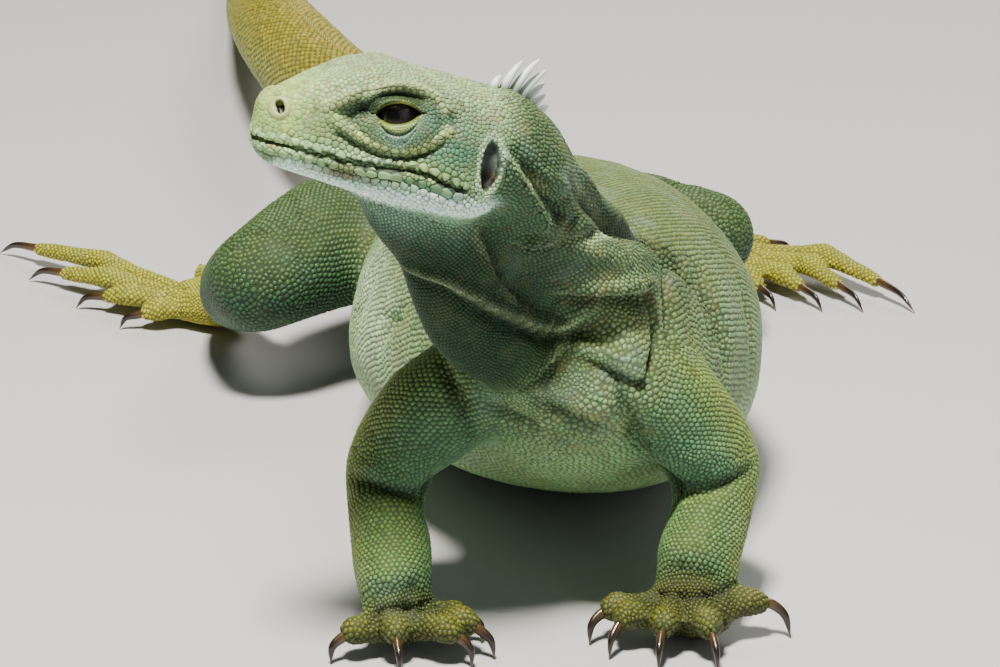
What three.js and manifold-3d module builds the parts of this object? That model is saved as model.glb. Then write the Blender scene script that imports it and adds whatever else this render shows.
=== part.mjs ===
// A life-size rock iguana, resting on its belly with its chest raised on its front legs.
// Units are millimetres. +Z is up, the animal faces -Y, and its left side is +X.
// Each named mesh is one part of the body; neighbours are parted by a thin, even gap.

import * as THREE from "three";
import { mergeVertices } from "three/addons/utils/BufferGeometryUtils.js";
import Module from "manifold-3d";

const wasm = await Module();
wasm.setup();

const GAP = 0.36; // clear space between two neighbouring parts
const FLOOR = 0; // level on which the belly, feet and tail rest
const EYE_RADIUS = 5.7;
const HEAD_YAW = THREE.MathUtils.degToRad(70); // the head is turned to the animal's right
const HEAD_PITCH = THREE.MathUtils.degToRad(16.7); // and lifted
const HEAD_ORIGIN = new THREE.Vector3(-8, -9, 121); // between the two ears
const HEAD_BACK = -4; // where the head is parted from the neck, behind the ears
const NECK_SPINES = 8;
const BACK_SPINES = 12;

// ---------------------------------------------------------------- materials

const skin = (color) => new THREE.MeshStandardMaterial({ color, roughness: 0.7, metalness: 0 });
const SAGE = skin(0xa3ad86);
const OLIVE = skin(0x8c9276);
const GREEN = skin(0x9aa56c);
const OCHRE = skin(0xb19a45);
const THROAT = skin(0x7f9474);
const CLAW = new THREE.MeshStandardMaterial({ color: 0x3b2a17, roughness: 0.3, metalness: 0 });
const EYE = new THREE.MeshStandardMaterial({ color: 0x2a160e, roughness: 0.1, metalness: 0 });

// ------------------------------------------------------------- shape helpers

const vec = (p) => new THREE.Vector3(...p);

// Value of a smooth curve through the numbers in values, at place u counted in numbers.
function smooth(values, u) {
  const last = values.length - 1;
  const i = Math.min(Math.floor(u), last - 1);
  const t = u - i;
  const [a, b, c, d] = [i - 1, i, i + 1, i + 2].map((k) => values[Math.max(0, Math.min(last, k))]);
  const [m, n] = [(c - a) / 2, (d - b) / 2];
  return b + t * (m + t * (3 * (c - b) - 2 * m - n + t * (m + n - 2 * (c - b))));
}

// Closed faceted skin over a chain of stations. A station holds its centre `at`, the half
// width `w` to each side, the heights `up` and `down`, the squareness `n` (2 is an ellipse)
// and the direction `top` that its upper side faces. `ends` are the lengths of the two
// rounded ends, `caps` are the rings of each rounded end as shares of a quarter turn, and
// `grow` swells the whole form evenly.
function loft(stations, options) {
  const { rings, sides, ends, caps = [0.5, 0.9], grow = 0, bend } = options;
  const last = stations.length - 1;
  const read = (key, plain) => stations.map((s) => s[key] ?? plain);
  const place = [0, 1, 2].map((k) => stations.map((s) => s.at[k]));
  const top = [0, 1, 2].map((k) => stations.map((s) => (s.top ?? [0, 0, 1])[k]));
  const size = { w: read("w"), up: read("up"), down: read("down"), n: read("n", 2) };
  const at = (u) => new THREE.Vector3(...place.map((v) => smooth(v, u)));
  const points = [];

  function ring(u, shrink, ahead) {
    const along = at(Math.min(u + 0.01, last)).sub(at(Math.max(u - 0.01, 0))).normalize();
    const up = new THREE.Vector3(...top.map((v) => smooth(v, u)));
    up.addScaledVector(along, -up.dot(along)).normalize();
    const side = new THREE.Vector3().crossVectors(up, along);
    const centre = at(u).addScaledVector(along, ahead);
    if (shrink === 0) {
      points.push(centre);
      return;
    }
    const power = 2 / smooth(size.n, u);
    for (let k = 0; k < sides; k += 1) {
      const angle = (2 * Math.PI * k) / sides;
      const [c, s] = [Math.cos(angle), Math.sin(angle)];
      const high = (s > 0 ? smooth(size.up, u) : smooth(size.down, u)) + grow;
      const across = Math.sign(c) * Math.abs(c) ** power * (smooth(size.w, u) + grow) * shrink;
      const over = Math.sign(s) * Math.abs(s) ** power * high * shrink;
      points.push(centre.clone().addScaledVector(side, across).addScaledVector(up, over));
    }
  }

  ring(0, 0, -(ends[0] + grow));
  for (const share of [...caps].reverse()) {
    const turn = (share * Math.PI) / 2;
    ring(0, Math.cos(turn), -(ends[0] + grow) * Math.sin(turn));
  }
  for (let k = 0; k <= rings; k += 1) {
    ring((k / rings) * last, 1, 0);
  }
  for (const share of caps) {
    const turn = (share * Math.PI) / 2;
    ring(last, Math.cos(turn), (ends[1] + grow) * Math.sin(turn));
  }
  ring(last, 0, ends[1] + grow);

  if (bend) {
    points.forEach(bend);
  }
  const faces = [];
  const count = (points.length - 2) / sides;
  const end = points.length - 1;
  for (let k = 0; k < sides; k += 1) {
    const next = (k + 1) % sides;
    faces.push(0, 1 + next, 1 + k);
    for (let r = 0; r < count - 1; r += 1) {
      const [a, b] = [1 + r * sides, 1 + (r + 1) * sides];
      faces.push(a + k, a + next, b + next, a + k, b + next, b + k);
    }
    const a = 1 + (count - 1) * sides;
    faces.push(a + k, a + next, end);
  }
  const geometry = new THREE.BufferGeometry().setFromPoints(points);
  geometry.setIndex(faces);
  return solid(geometry);
}

function solid(geometry) {
  const shape = geometry.clone();
  shape.deleteAttribute("normal");
  shape.deleteAttribute("uv");
  const merged = mergeVertices(shape, 1e-4);
  return new wasm.Manifold(new wasm.Mesh({
    numProp: 3,
    vertProperties: new Float32Array(merged.attributes.position.array),
    triVerts: new Uint32Array(merged.index.array),
  }));
}

// The half of a solid that lies on the side to which `normal` points, a share of the gap
// away from the plane through `point`.
function keep(form, point, normal) {
  const n = normal.clone().normalize();
  return form.trimByPlane(n.toArray(), n.dot(point) + GAP / 2);
}

const onFloor = (form) => form.trimByPlane([0, 0, 1], FLOOR);
const round = (x, y, z, r, more = {}) => ({ at: [x, y, z], w: r, up: r, down: r, ...more });

function join(forms) {
  return forms.reduce((whole, form) => whole.add(form));
}

const group = new THREE.Group();

function place(name, form, material) {
  const mesh = form.getMesh();
  const geometry = new THREE.BufferGeometry();
  geometry.setAttribute("position", new THREE.BufferAttribute(mesh.vertProperties, 3));
  geometry.setIndex(new THREE.BufferAttribute(mesh.triVerts, 1));
  const piece = new THREE.Mesh(geometry, material);
  piece.name = name;
  group.add(piece);
}

// ---------------------------------------------------------------------- head

// The head's own directions: forward to the snout, its left side, and up.
const forward = new THREE.Vector3(
  -Math.sin(HEAD_YAW) * Math.cos(HEAD_PITCH),
  -Math.cos(HEAD_YAW) * Math.cos(HEAD_PITCH),
  Math.sin(HEAD_PITCH),
);
const left = new THREE.Vector3(Math.cos(HEAD_YAW), -Math.sin(HEAD_YAW), 0);
const crown = new THREE.Vector3().crossVectors(forward, left);

const onHead = (f, l, u) => HEAD_ORIGIN.clone()
  .addScaledVector(forward, f).addScaledVector(left, l).addScaledVector(crown, u);

// Each row: distance forward, height of the crown, depth of the jaw, half width, squareness.
const HEAD = [
  [-9, 13.0, -13.5, 15.0, 2.1],
  [-3, 14.2, -15.2, 16.6, 2.2],
  [4, 14.8, -15.8, 18.4, 2.3],
  [11, 15.2, -15.2, 17.0, 2.5],
  [17, 15.6, -14.2, 15.0, 2.7],
  [24, 15.8, -13.4, 13.0, 2.7],
  [30.5, 14.2, -12.6, 11.2, 2.5],
  [37, 10.3, -12.2, 9.3, 2.4],
  [42, 7.2, -11.6, 7.8, 2.4],
  [45.2, 4.9, -10.4, 6.5, 2.4],
];
const MOUTH = -3.5; // height at which the head is widest
const EYE_AT = [20.3, 7.7, 5.4];

// Soft mounds and hollows, mirrored on both sides: place, radius and height.
const HEAD_MOUNDS = [
  [[3, 18, -7], 6.5, 1.3], // jaw muscle
  [[21, 11, 12.5], 4.5, 1.0], // brow
  [[20.5, 13.2, 5.4], 4.2, -1.7], // eye hollow
  [[19, 14, -1.5], 4.5, 0.7], // ridge under the eye
  [[33, 9, 4], 5, -0.7], // hollow in front of the eye
  [[7, 15, 5], 4.5, -0.6], // temple, before the ear
];

function mouldHead(point) {
  const local = point.clone().sub(HEAD_ORIGIN);
  const [f, l, u] = [local.dot(forward), local.dot(left), local.dot(crown)];
  const outward = new THREE.Vector3()
    .addScaledVector(left, l).addScaledVector(crown, u - MOUTH).normalize();
  for (const [[mf, ml, mu], radius, height] of HEAD_MOUNDS) {
    const far = (f - mf) ** 2 + (Math.abs(l) - ml) ** 2 + (u - mu) ** 2;
    point.addScaledVector(outward, height * Math.exp(-far / radius ** 2));
  }
}

const headStations = HEAD.map(([f, high, low, w, n]) => ({
  at: onHead(f, 0, MOUTH).toArray(),
  w,
  up: high - MOUTH,
  down: MOUTH - low,
  n,
  top: crown.toArray(),
}));
const headForm = (grow) => loft(headStations, {
  rings: 15, sides: 25, ends: [1, 2.7], grow, bend: mouldHead,
});

function eyeball(side, radius) {
  const ball = new THREE.SphereGeometry(radius, 12, 8);
  ball.applyMatrix4(new THREE.Matrix4().setPosition(onHead(EYE_AT[0], side * EYE_AT[1], EYE_AT[2])));
  return solid(ball);
}

// ---------------------------------------------------------------------- neck

const NECK = [
  { at: [-7, -8.7, 120.7], w: 16.6, up: 14.8, down: 14.8, top: [0.4, 0.2, 0.86] },
  { at: [-1.4, -5, 117.6], w: 16.2, up: 15.2, down: 14.4, top: [0.42, 0.35, 0.82] },
  { at: [3.6, 1, 109.4], w: 15.6, up: 13, down: 14, top: [0.45, 0.55, 0.7] },
  { at: [8, 8, 98], w: 16.6, up: 13.6, down: 14.5, top: [0.35, 0.7, 0.6] },
  { at: [12.5, 16, 86], w: 21, up: 17, down: 16, top: [0.2, 0.75, 0.65] },
  { at: [15.5, 25, 73], w: 24, up: 19, down: 17, top: [0.1, 0.75, 0.65] },
  { at: [17, 35, 62], w: 23, up: 17, down: 16, top: [0.05, 0.75, 0.65] },
];

// A flat-sided spine on the upper midline of a form, at place u along it, leaning back.
function crestSpine(stations, u, tall, thick, deep) {
  const read = (key, where) => new THREE.Vector3(...[0, 1, 2].map((k) => (
    smooth(stations.map((station) => station[key][k]), where))));
  const along = read("at", u + 0.05).sub(read("at", u - 0.05)).normalize();
  const up = read("top", u);
  up.addScaledVector(along, -up.dot(along)).normalize();
  const foot = read("at", u).addScaledVector(up, smooth(stations.map((s) => s.up), u));
  const tip = foot.clone().addScaledVector(up, tall).addScaledVector(along, tall * 0.3);
  const root = foot.clone().addScaledVector(up, -2.2);
  const station = (p, k) => ({
    at: p.toArray(), w: thick * k, up: deep * k, down: deep * k, top: along.toArray(),
  });
  return loft([station(root, 1), station(root.clone().lerp(tip, 0.6), 0.75), station(tip, 0.16)], {
    rings: 2, sides: 4, ends: [0.3, 0.2], caps: [],
  });
}

// ------------------------------------------------------- dewlap under the jaw

// Each row: a point on the front edge, the point behind it in the throat, half thickness.
const DEWLAP = [
  [[-32, -20.5, 114.5], [-17, -13, 122], 7.5],
  [[-26.8, -18, 103.5], [-9, -9, 113], 10],
  [[-21.4, -16, 97], [-4, -5, 106], 10.5],
  [[-19.2, -14.5, 88], [1, 0, 97], 10],
  [[-14.6, -12, 77], [7, 7, 86], 9.5],
  [[-6, -8, 69.5], [12, 13, 76], 9],
  [[4, -2, 64], [15, 16, 70], 8.5],
];

// --------------------------------------------------------------------- trunk

// Each row: place along Y, centre in X, top, bottom, half width, lean of the spine in degrees.
const TRUNK = [
  [4, 13, 76, 49, 20, 0],
  [13, 14, 85, 41, 24.5, 2],
  [27, 16, 91, 31, 29, 5],
  [50, 17, 90, 18, 39.5, 9],
  [72, 15.5, 86.5, 8, 47.5, 9],
  [96, 13, 81.5, 0, 51, 8],
  [120, 8.5, 75, -0.8, 47, 7],
  [142, 3, 68, 3, 40, 5],
  [162, -2, 61.5, 6, 32, 3],
  [180, -6.5, 57.5, 8.5, 26.5, 0],
  [194, -10, 54.5, 11.5, 22, 0],
  [208, -14, 51.5, 15, 19, 0],
];
const trunkStations = TRUNK.map(([y, x, high, low, w, lean]) => {
  const level = low + (high - low) * 0.42; // the body is widest below half its height
  const turn = THREE.MathUtils.degToRad(lean);
  return {
    at: [x, y, level],
    w,
    up: high - level,
    down: level - low,
    n: 2.15,
    top: [Math.sin(turn), 0, Math.cos(turn)],
  };
});
const trunkForm = (grow) => loft(trunkStations, { rings: 12, sides: 22, ends: [6, 4], caps: [0.6], grow });

// ---------------------------------------------------------------------- tail

// Each row: centre, half width, half height.
const TAIL = [
  [-8, 192, 33, 21, 20],
  [-14, 208, 34, 18.5, 18],
  [-22, 227, 35.5, 16.5, 16.5],
  [-31, 247, 36, 15, 15.5],
  [-40.5, 270, 36.5, 14.6, 15.4],
  [-49.5, 294, 36, 14.2, 15],
  [-62, 340, 33, 13.6, 14.4],
  [-71, 388, 27, 12.4, 13.2],
  [-76, 430, 19, 10.6, 11.4],
  [-80, 470, 11.4, 8.6, 9.2],
  [-85, 508, 6.7, 6.7, 7.2],
  [-92, 546, 4.9, 5, 5.4],
  [-103, 580, 3.2, 3.3, 3.6],
  [-117, 606, 1.9, 1.7, 2],
];
const TAIL_CUTS = [294, 366, 440, 520]; // where the tail is parted, along Y
const TAIL_RUN = new THREE.Vector3(-0.15, 1, 0);
const tailStations = TAIL.map(([x, y, z, w, h]) => ({ at: [x, y, z], w, up: h, down: h }));
const tailForm = loft(tailStations, { rings: 18, sides: 10, ends: [2, 3], caps: [0.6] });

// ------------------------------------------------------------------ the limbs

// A limb runs root, upper middle, elbow or knee, lower middle, wrist or ankle.
const LIMBS = {
  arm_left: [round(17, 15, 63, 14), round(35, 18, 53, 13), round(48.5, 25, 34.5, 12),
    round(46.5, 13.5, 22, 10.6), round(43.8, 4, 13.5, 9.4)],
  arm_right: [round(8, 14, 63, 14), round(-12, 16, 52, 13), round(-24.5, 21, 35.5, 11.4),
    round(-24.5, 7, 23, 9.8), round(-23.5, -4.5, 13.5, 9)],
  leg_left: [round(10, 186, 33, 17), round(35, 181, 34, 15.6), round(54.5, 177, 33, 12.6),
    round(54.5, 204, 23.5, 10.4), round(50.5, 230, 12, 7)],
  leg_right: [round(-20, 181, 36, 19), round(-42, 162, 37.5, 18), round(-60, 143.5, 34, 14.2),
    round(-67, 165, 23, 11.6), round(-71.5, 187, 13, 7.2)],
};

// Palms and soles, then the digits from the innermost. A digit is root, knuckle, end, claw tip.
const FEET = {
  hand_left: {
    sole: [round(43.8, 5, 10.8, 8.4), round(43, 0, 8, 9, { w: 11.5, up: 5.8 }),
      round(41.5, -4.8, 6.5, 4.4, { w: 8.5 })],
    digits: [
      [[33, 1, 7.5], [26.5, 1, 8], [23, -0.5, 6.6], [20.3, -3.2, 0.7]],
      [[34, -3, 7.5], [28.6, -4.6, 8.5], [26.6, -7, 6.6], [24.6, -10.6, 0.7]],
      [[38, -3.5, 8], [36.8, -8.6, 8.6], [36.1, -12, 6.6], [35.4, -16.6, 0.7]],
      [[44, -3.5, 8], [46.6, -9.2, 8.8], [47.6, -13.2, 6.7], [48.6, -17.6, 0.7]],
      [[49, 0, 7.5], [56, 1.4, 9], [61, 2, 8], [65.8, 0.6, 0.9]],
    ],
    thick: 3.9,
  },
  hand_right: {
    sole: [round(-23.5, -3, 10.8, 8.2), round(-21.5, -6, 7.6, 8.4, { w: 11, up: 5.6 }),
      round(-20.5, -9.2, 6.2, 4.2, { w: 7.8 })],
    digits: [
      [[-17, -3, 6.6], [-10.5, -1.6, 7.2], [-7, -1.2, 6], [-4, -2, 0.7]],
      [[-15, -6, 7], [-8.5, -7.6, 8.6], [-4.8, -8.8, 6.7], [-1.2, -10.6, 0.8]],
      [[-18, -8.5, 7.4], [-12.6, -12, 8.6], [-8.8, -13.2, 6.4], [-6.2, -15, 0.7]],
      [[-23, -8, 7.4], [-23.4, -12, 8.3], [-22.9, -15.2, 6.4], [-22.2, -19.2, 0.8]],
      [[-27, -8, 6.6], [-32.4, -10.2, 7.2], [-35.2, -11.2, 5.8], [-37.8, -13, 0.7]],
    ],
    thick: 3.9,
  },
  foot_left: {
    sole: [round(51, 232, 9, 7), round(60, 235, 7.2, 6.4, { w: 9.5, up: 6 }),
      round(69, 235, 5.8, 5, { w: 10 })],
    digits: [
      [[62, 228, 5.6], [68, 219.5, 6], [71, 214, 4.6], [74.5, 208.5, 0.7]],
      [[67, 229.5, 5.6], [77, 221, 6.4], [82, 214, 4.8], [87, 207.5, 0.7]],
      [[70, 232.5, 5.8], [84.5, 226.5, 7], [92.5, 215, 4.9], [98, 207, 0.7]],
      [[71, 236, 6], [89, 232.5, 7.8], [103.5, 217, 5.2], [111.8, 206.4, 0.7]],
      [[58, 238, 6], [67.5, 246.5, 6.2], [75, 250, 4.6], [82, 251.5, 0.7]],
    ],
    thick: 3.5,
  },
  foot_right: {
    sole: [round(-70, 191, 9.5, 7), round(-77, 198, 7, 6.8, { w: 9.5, up: 6.2 }),
      round(-85, 205, 5.8, 5, { w: 10.5 })],
    digits: [
      [[-83, 196.5, 5.6], [-91.5, 194.6, 6], [-96, 194.4, 4.6], [-101.5, 194.6, 0.7]],
      [[-87, 200, 5.6], [-99.5, 205, 6.4], [-107, 207.6, 4.8], [-114.5, 210, 0.7]],
      [[-89, 204, 5.8], [-106, 216, 6.8], [-120, 225.4, 5], [-129.4, 231.5, 0.7]],
      [[-88, 208, 6], [-108, 228, 7.2], [-129, 245, 5], [-139.6, 253, 0.7]],
      [[-76, 204, 6], [-80, 219, 6.4], [-81.6, 228, 4.6], [-83, 236.5, 0.7]],
    ],
    thick: 3.5,
  },
};

function digit([root, knuckle, end], thick) {
  return loft([
    round(...root, thick * 1.08),
    round(...vec(root).lerp(vec(knuckle), 0.6).toArray(), thick * 0.86),
    round(...knuckle, thick),
    round(...end, thick * 0.66),
  ], { rings: 3, sides: 6, ends: [0.5, 0.01], caps: [] });
}

// A claw leaves the blunt end of its digit level and hooks down to its point.
function claw([, knuckle, end, tip], thick) {
  const [start, point] = [vec(end), vec(tip)];
  const out = start.clone().sub(vec(knuckle)).normalize();
  const root = start.clone().addScaledVector(out, GAP + 0.05);
  const hook = root.clone().lerp(point, 0.5).addScaledVector(out, 1.2);
  hook.z += 1.2;
  const k = thick * 0.42;
  const top = out.toArray();
  return loft([
    round(...root.toArray(), k, { top: [0, 0, 1] }),
    round(...root.clone().addScaledVector(out, 1).toArray(), k, { top: [0, 0, 1] }),
    round(...hook.toArray(), k * 0.8, { top }),
    round(...point.toArray(), k * 0.2, { top }),
  ], { rings: 3, sides: 5, ends: [0.01, 0.3], caps: [] });
}

// --------------------------------------------------------------- the assembly

const trunkGrown = trunkForm(GAP);
const headGrown = headForm(GAP);
const cutPoint = onHead(HEAD_BACK, 0, 0);

// The crest is one row of spines along the upper midline, tall on the nape and low on the back.
const napeSpines = Array.from({ length: NECK_SPINES }, (_, k) => {
  const share = k / (NECK_SPINES - 1);
  const tall = 3.6 + 4.4 * Math.sin(Math.PI * (0.16 + 0.72 * share));
  return crestSpine(NECK, 0.4 + 1.35 * share, tall, 0.9, 1.3);
});
const backSpines = Array.from({ length: BACK_SPINES }, (_, k) => (
  crestSpine(trunkStations, 2.1 + (7.2 * k) / (BACK_SPINES - 1), 2.1, 0.7, 1.5)));

const neckForm = (grow) => loft(NECK, { rings: 9, sides: 20, ends: [1, 6], caps: [0.6], grow });
const neckWhole = join([neckForm(0), ...napeSpines]);
const neck = keep(neckWhole, cutPoint, forward.clone().negate()).subtract(trunkGrown);

const sockets = eyeball(1, EYE_RADIUS + GAP).add(eyeball(-1, EYE_RADIUS + GAP));
const head = keep(headForm(0), cutPoint, forward).subtract(sockets);

const dewlapForm = (grow) => loft(DEWLAP.map(([front, back, w]) => {
  const reach = vec(front).sub(vec(back));
  return {
    at: vec(front).add(vec(back)).multiplyScalar(0.5).toArray(),
    w,
    up: reach.length() / 2,
    down: reach.length() / 2,
    top: reach.toArray(),
  };
}), { rings: 8, sides: 12, ends: [3, 3], caps: [0.6], grow });
const neckGrown = neckForm(GAP);
const dewlap = dewlapForm(0).subtract(headGrown).subtract(neckGrown).subtract(trunkGrown);

place("head", head, SAGE);
place("eye_left", eyeball(1, EYE_RADIUS), EYE);
place("eye_right", eyeball(-1, EYE_RADIUS), EYE);
place("neck", neck, OLIVE);
place("dewlap", dewlap, THROAT);

const trunkCut = new THREE.Vector3(0, 203, 0);
const backwards = new THREE.Vector3(-0.2, 1, 0);
const trunk = onFloor(keep(join([trunkForm(0), ...backSpines]), trunkCut, backwards.clone().negate()));
place("trunk", trunk, SAGE);

let rest = keep(onFloor(tailForm), trunkCut, backwards);
TAIL_CUTS.forEach((cut, k) => {
  const here = new THREE.Vector3(0, cut, 0);
  place(`tail_${k + 1}`, keep(rest, here, TAIL_RUN.clone().negate()), k % 2 ? OCHRE : GREEN);
  rest = keep(rest, here, TAIL_RUN);
});
place(`tail_${TAIL_CUTS.length + 1}`, rest, OCHRE);

const SEGMENTS = { arm: ["upper_arm", "forearm", "hand"], leg: ["thigh", "shin", "foot"] };
for (const [name, chain] of Object.entries(LIMBS)) {
  const [kind, side] = name.split("_");
  const [first, second, third] = SEGMENTS[kind].map((part) => `${part}_${side}`);
  const { sole, digits, thick } = FEET[third];
  const line = [...chain, sole[0], sole[1]].map((station) => vec(station.at));
  const run = (i, j) => line[j].clone().sub(line[i]).normalize();
  const fold = run(1, 2).add(run(2, 3)); // faces down the limb at the elbow or knee
  const tread = run(3, 4).add(run(5, 6)); // and at the wrist or ankle
  const wrist = line[4].clone().lerp(line[5], 0.5);
  const cap = chain[2].w * 0.8;
  const upper = loft(chain.slice(0, 3), { rings: 5, sides: 12, ends: [2, cap], caps: [0.6] });
  const lower = loft(chain.slice(2), { rings: 5, sides: 12, ends: [cap, 4], caps: [0.6] });
  const body = kind === "arm" ? join([trunkGrown, neckGrown, dewlapForm(GAP)]) : trunkGrown;
  place(first, keep(upper, line[2], fold.clone().negate()).subtract(body), GREEN);
  place(second, keep(keep(lower, line[2], fold), wrist, tread.clone().negate()), GREEN);
  const palm = keep(loft(sole, { rings: 4, sides: 9, ends: [3, 2], caps: [0.6] }), wrist, tread);
  const paw = onFloor(join([palm, ...digits.map((one) => digit(one, thick))]));
  place(third, paw, OCHRE);
  digits.forEach((one, k) => place(`claw_${third}_${k + 1}`, claw(one, thick), CLAW));
}

// The origin is under the middle of the whole animal, on the floor.
const box = new THREE.Box3().setFromObject(group);
const middle = box.getCenter(new THREE.Vector3());
group.position.set(-middle.x, -middle.y, -FLOOR);

export default group;
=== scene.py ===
"""A life-size rock iguana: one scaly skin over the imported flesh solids, with eyes, claws and crest.

Lengths in the tables are millimetres and are turned into metres by MM. The skin is the flesh solids
melted into one closed surface, evened out, then modelled by soft brushes (mounds, hollows, creases)
that are functions of a point's place on the head or body. The coat is tens of thousands of small
domed plates. Their roots stand in rings round each limb, and each plate reaches from its own root
towards the plates round it, so that together they tile the skin.
"""

import bmesh
import bpy
import numpy as np
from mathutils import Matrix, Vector
from mathutils.bvhtree import BVHTree
from mathutils.kdtree import KDTree


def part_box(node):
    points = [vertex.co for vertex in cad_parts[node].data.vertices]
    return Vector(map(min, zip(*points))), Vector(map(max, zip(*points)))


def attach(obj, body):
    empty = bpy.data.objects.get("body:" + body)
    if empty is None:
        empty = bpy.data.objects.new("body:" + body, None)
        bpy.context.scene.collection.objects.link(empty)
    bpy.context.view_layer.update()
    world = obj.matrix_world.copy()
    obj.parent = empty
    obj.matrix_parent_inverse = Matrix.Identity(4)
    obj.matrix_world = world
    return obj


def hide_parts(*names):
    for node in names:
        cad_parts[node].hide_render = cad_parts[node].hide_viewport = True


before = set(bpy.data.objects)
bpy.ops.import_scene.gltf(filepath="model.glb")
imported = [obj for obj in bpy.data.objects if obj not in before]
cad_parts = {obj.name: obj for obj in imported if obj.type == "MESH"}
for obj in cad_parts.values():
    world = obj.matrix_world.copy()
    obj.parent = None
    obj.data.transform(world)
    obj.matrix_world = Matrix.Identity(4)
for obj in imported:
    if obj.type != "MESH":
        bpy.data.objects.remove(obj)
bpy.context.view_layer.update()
MM = 0.001

# ---------------------------------------------------------------- the camera
# A long lens in front of the animal and above its head, level across and tilted down. Its place is
# measured from the middle of the two front feet.

LENS = 160.0
SENSOR = 36.0
CAMERA_TILT = np.radians(21.2)
CAMERA_FROM_HANDS = np.array([-10.8, -909.4, 420.3])


def middle(node):
    """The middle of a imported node's box, in millimetres."""
    low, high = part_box(node)
    return (np.array(low) + np.array(high)) / 2 / MM


hands = (middle("hand_left") + middle("hand_right")) / 2
camera_data = bpy.data.cameras.new("camera")
camera_data.lens = LENS
camera_data.sensor_width = SENSOR
camera_data.clip_start = 0.01
camera = bpy.data.objects.new("camera", camera_data)
camera.location = Vector((hands + CAMERA_FROM_HANDS) * MM)
camera.rotation_euler = (np.pi / 2 - CAMERA_TILT, 0.0, 0.0)
bpy.context.collection.objects.link(camera)
bpy.context.scene.camera = camera

# ------------------------------------------------------- the floor and lights
# A plain pale matt floor, far wider than the view, and three soft lamps: one above the head, one from
# the front and one from behind. Faint light comes from all round.


def lamp(name, place, target, size, power, colour):
    """A square soft lamp at place, aimed at target (metres)."""
    data = bpy.data.lights.new(name, "AREA")
    data.size = size
    data.energy = power
    data.color = colour
    lamp_object = bpy.data.objects.new(name, data)
    lamp_object.location = place
    aim = Vector(target) - Vector(place)
    lamp_object.rotation_euler = aim.to_track_quat("-Z", "Y").to_euler()
    bpy.context.collection.objects.link(lamp_object)


def put_mesh(name, points, faces):
    """A mesh object at the origin from points in millimetres and a list or array of faces."""
    mesh = bpy.data.meshes.new(name)
    mesh.from_pydata((np.asarray(points) * MM).tolist(), [], [list(face) for face in faces])
    mesh.update()
    thing = bpy.data.objects.new(name, mesh)
    bpy.context.collection.objects.link(thing)
    return thing


FLOOR_REACH = 6000.0
floor = put_mesh("floor", [(-FLOOR_REACH, -FLOOR_REACH, 0), (FLOOR_REACH, -FLOOR_REACH, 0),
                           (FLOOR_REACH, FLOOR_REACH, 0), (-FLOOR_REACH, FLOOR_REACH, 0)], [(0, 1, 2, 3)])
floor_paint = bpy.data.materials.new("pale floor")
floor_paint.use_nodes = True
floor_shader = floor_paint.node_tree.nodes["Principled BSDF"]
floor_shader.inputs["Base Color"].default_value = (0.52, 0.515, 0.50, 1)
floor_shader.inputs["Roughness"].default_value = 0.9
floor.data.materials.append(floor_paint)

head_middle = Vector(middle("head") * MM)
LAMPS = [  # name, place from the middle of the head (m), size (m), power (W), colour
    ("key", (-0.06, -0.32, 1.0), 0.18, 37.0, (1.0, 0.97, 0.9)),
    ("fill", (0.9, -1.2, 0.6), 1.2, 2.8, (0.88, 0.95, 1.0)),
    ("rim", (0.5, 1.2, 1.0), 0.8, 14.0, (1.0, 0.98, 0.95)),
]
for name, place, size, power, colour in LAMPS:
    lamp(name, head_middle + Vector(place), head_middle, size, power, colour)
world = bpy.data.worlds.new("studio")
world.use_nodes = True
sky = world.node_tree.nodes["Background"]
sky.inputs["Color"].default_value = (0.9, 0.95, 1.0, 1)
sky.inputs["Strength"].default_value = 0.11
bpy.context.scene.world = world

# ----------------------------------------------------------------- the skin
# The skin is one closed surface over the head, neck, dewlap, trunk, tail and legs. The packed
# solids are swollen over their thin gaps, melted into one by a voxel remesh, and evened out.

FLESH = [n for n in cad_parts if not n.startswith(("eye", "claw"))]
SWELL = 0.3  # closes the gaps between the solids
VOXEL = 1.6
THINNED = 0.47  # share of the triangles left after the plain parts are thinned
COAT = 0.35  # depth of the scales, by which the skin lies inside the solids
SPINE_THICKNESS = 2.4  # crest spines are thinner than this, and are left out of the skin


def read_mesh(mesh):
    """Points (mm) and triangles of a mesh."""
    points = np.empty(len(mesh.vertices) * 3)
    mesh.vertices.foreach_get("co", points)
    mesh.calc_loop_triangles()
    corners = np.empty(len(mesh.loop_triangles) * 3, dtype=np.int64)
    mesh.loop_triangles.foreach_get("vertices", corners)
    return points.reshape(-1, 3) / MM, corners.reshape(-1, 3)


def solid_of(node):
    """Merged corner points (mm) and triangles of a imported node."""
    points, corners = read_mesh(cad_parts[node].data)
    merged, back = np.unique(np.round(points, 3), axis=0, return_inverse=True)
    faces = back.ravel()[corners]
    whole = (faces[:, 0] != faces[:, 1]) & (faces[:, 1] != faces[:, 2]) & (faces[:, 0] != faces[:, 2])
    return merged, faces[whole]


def unit(v):
    """Vectors scaled to length one."""
    v = np.asarray(v, dtype=float)
    return v / np.maximum(np.linalg.norm(v, axis=-1, keepdims=True), 1e-12)


def face_normals(points, faces):
    """The cross product of two sides of each triangle: along its normal, and twice its area long."""
    corners = points[faces]
    return np.cross(corners[:, 1] - corners[:, 0], corners[:, 2] - corners[:, 0])


def point_normals(points, faces):
    """Unit normals at points: the area-weighted mean of the faces around each."""
    across = face_normals(points, faces)
    return unit(np.stack([
        np.bincount(faces.ravel(), np.repeat(across[:, k], 3), len(points)) for k in range(3)
    ], axis=1))


def tree_of(points, faces):
    """A search tree of the triangles, in metres."""
    return BVHTree.FromPolygons((points * MM).tolist(), faces.tolist())


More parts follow.
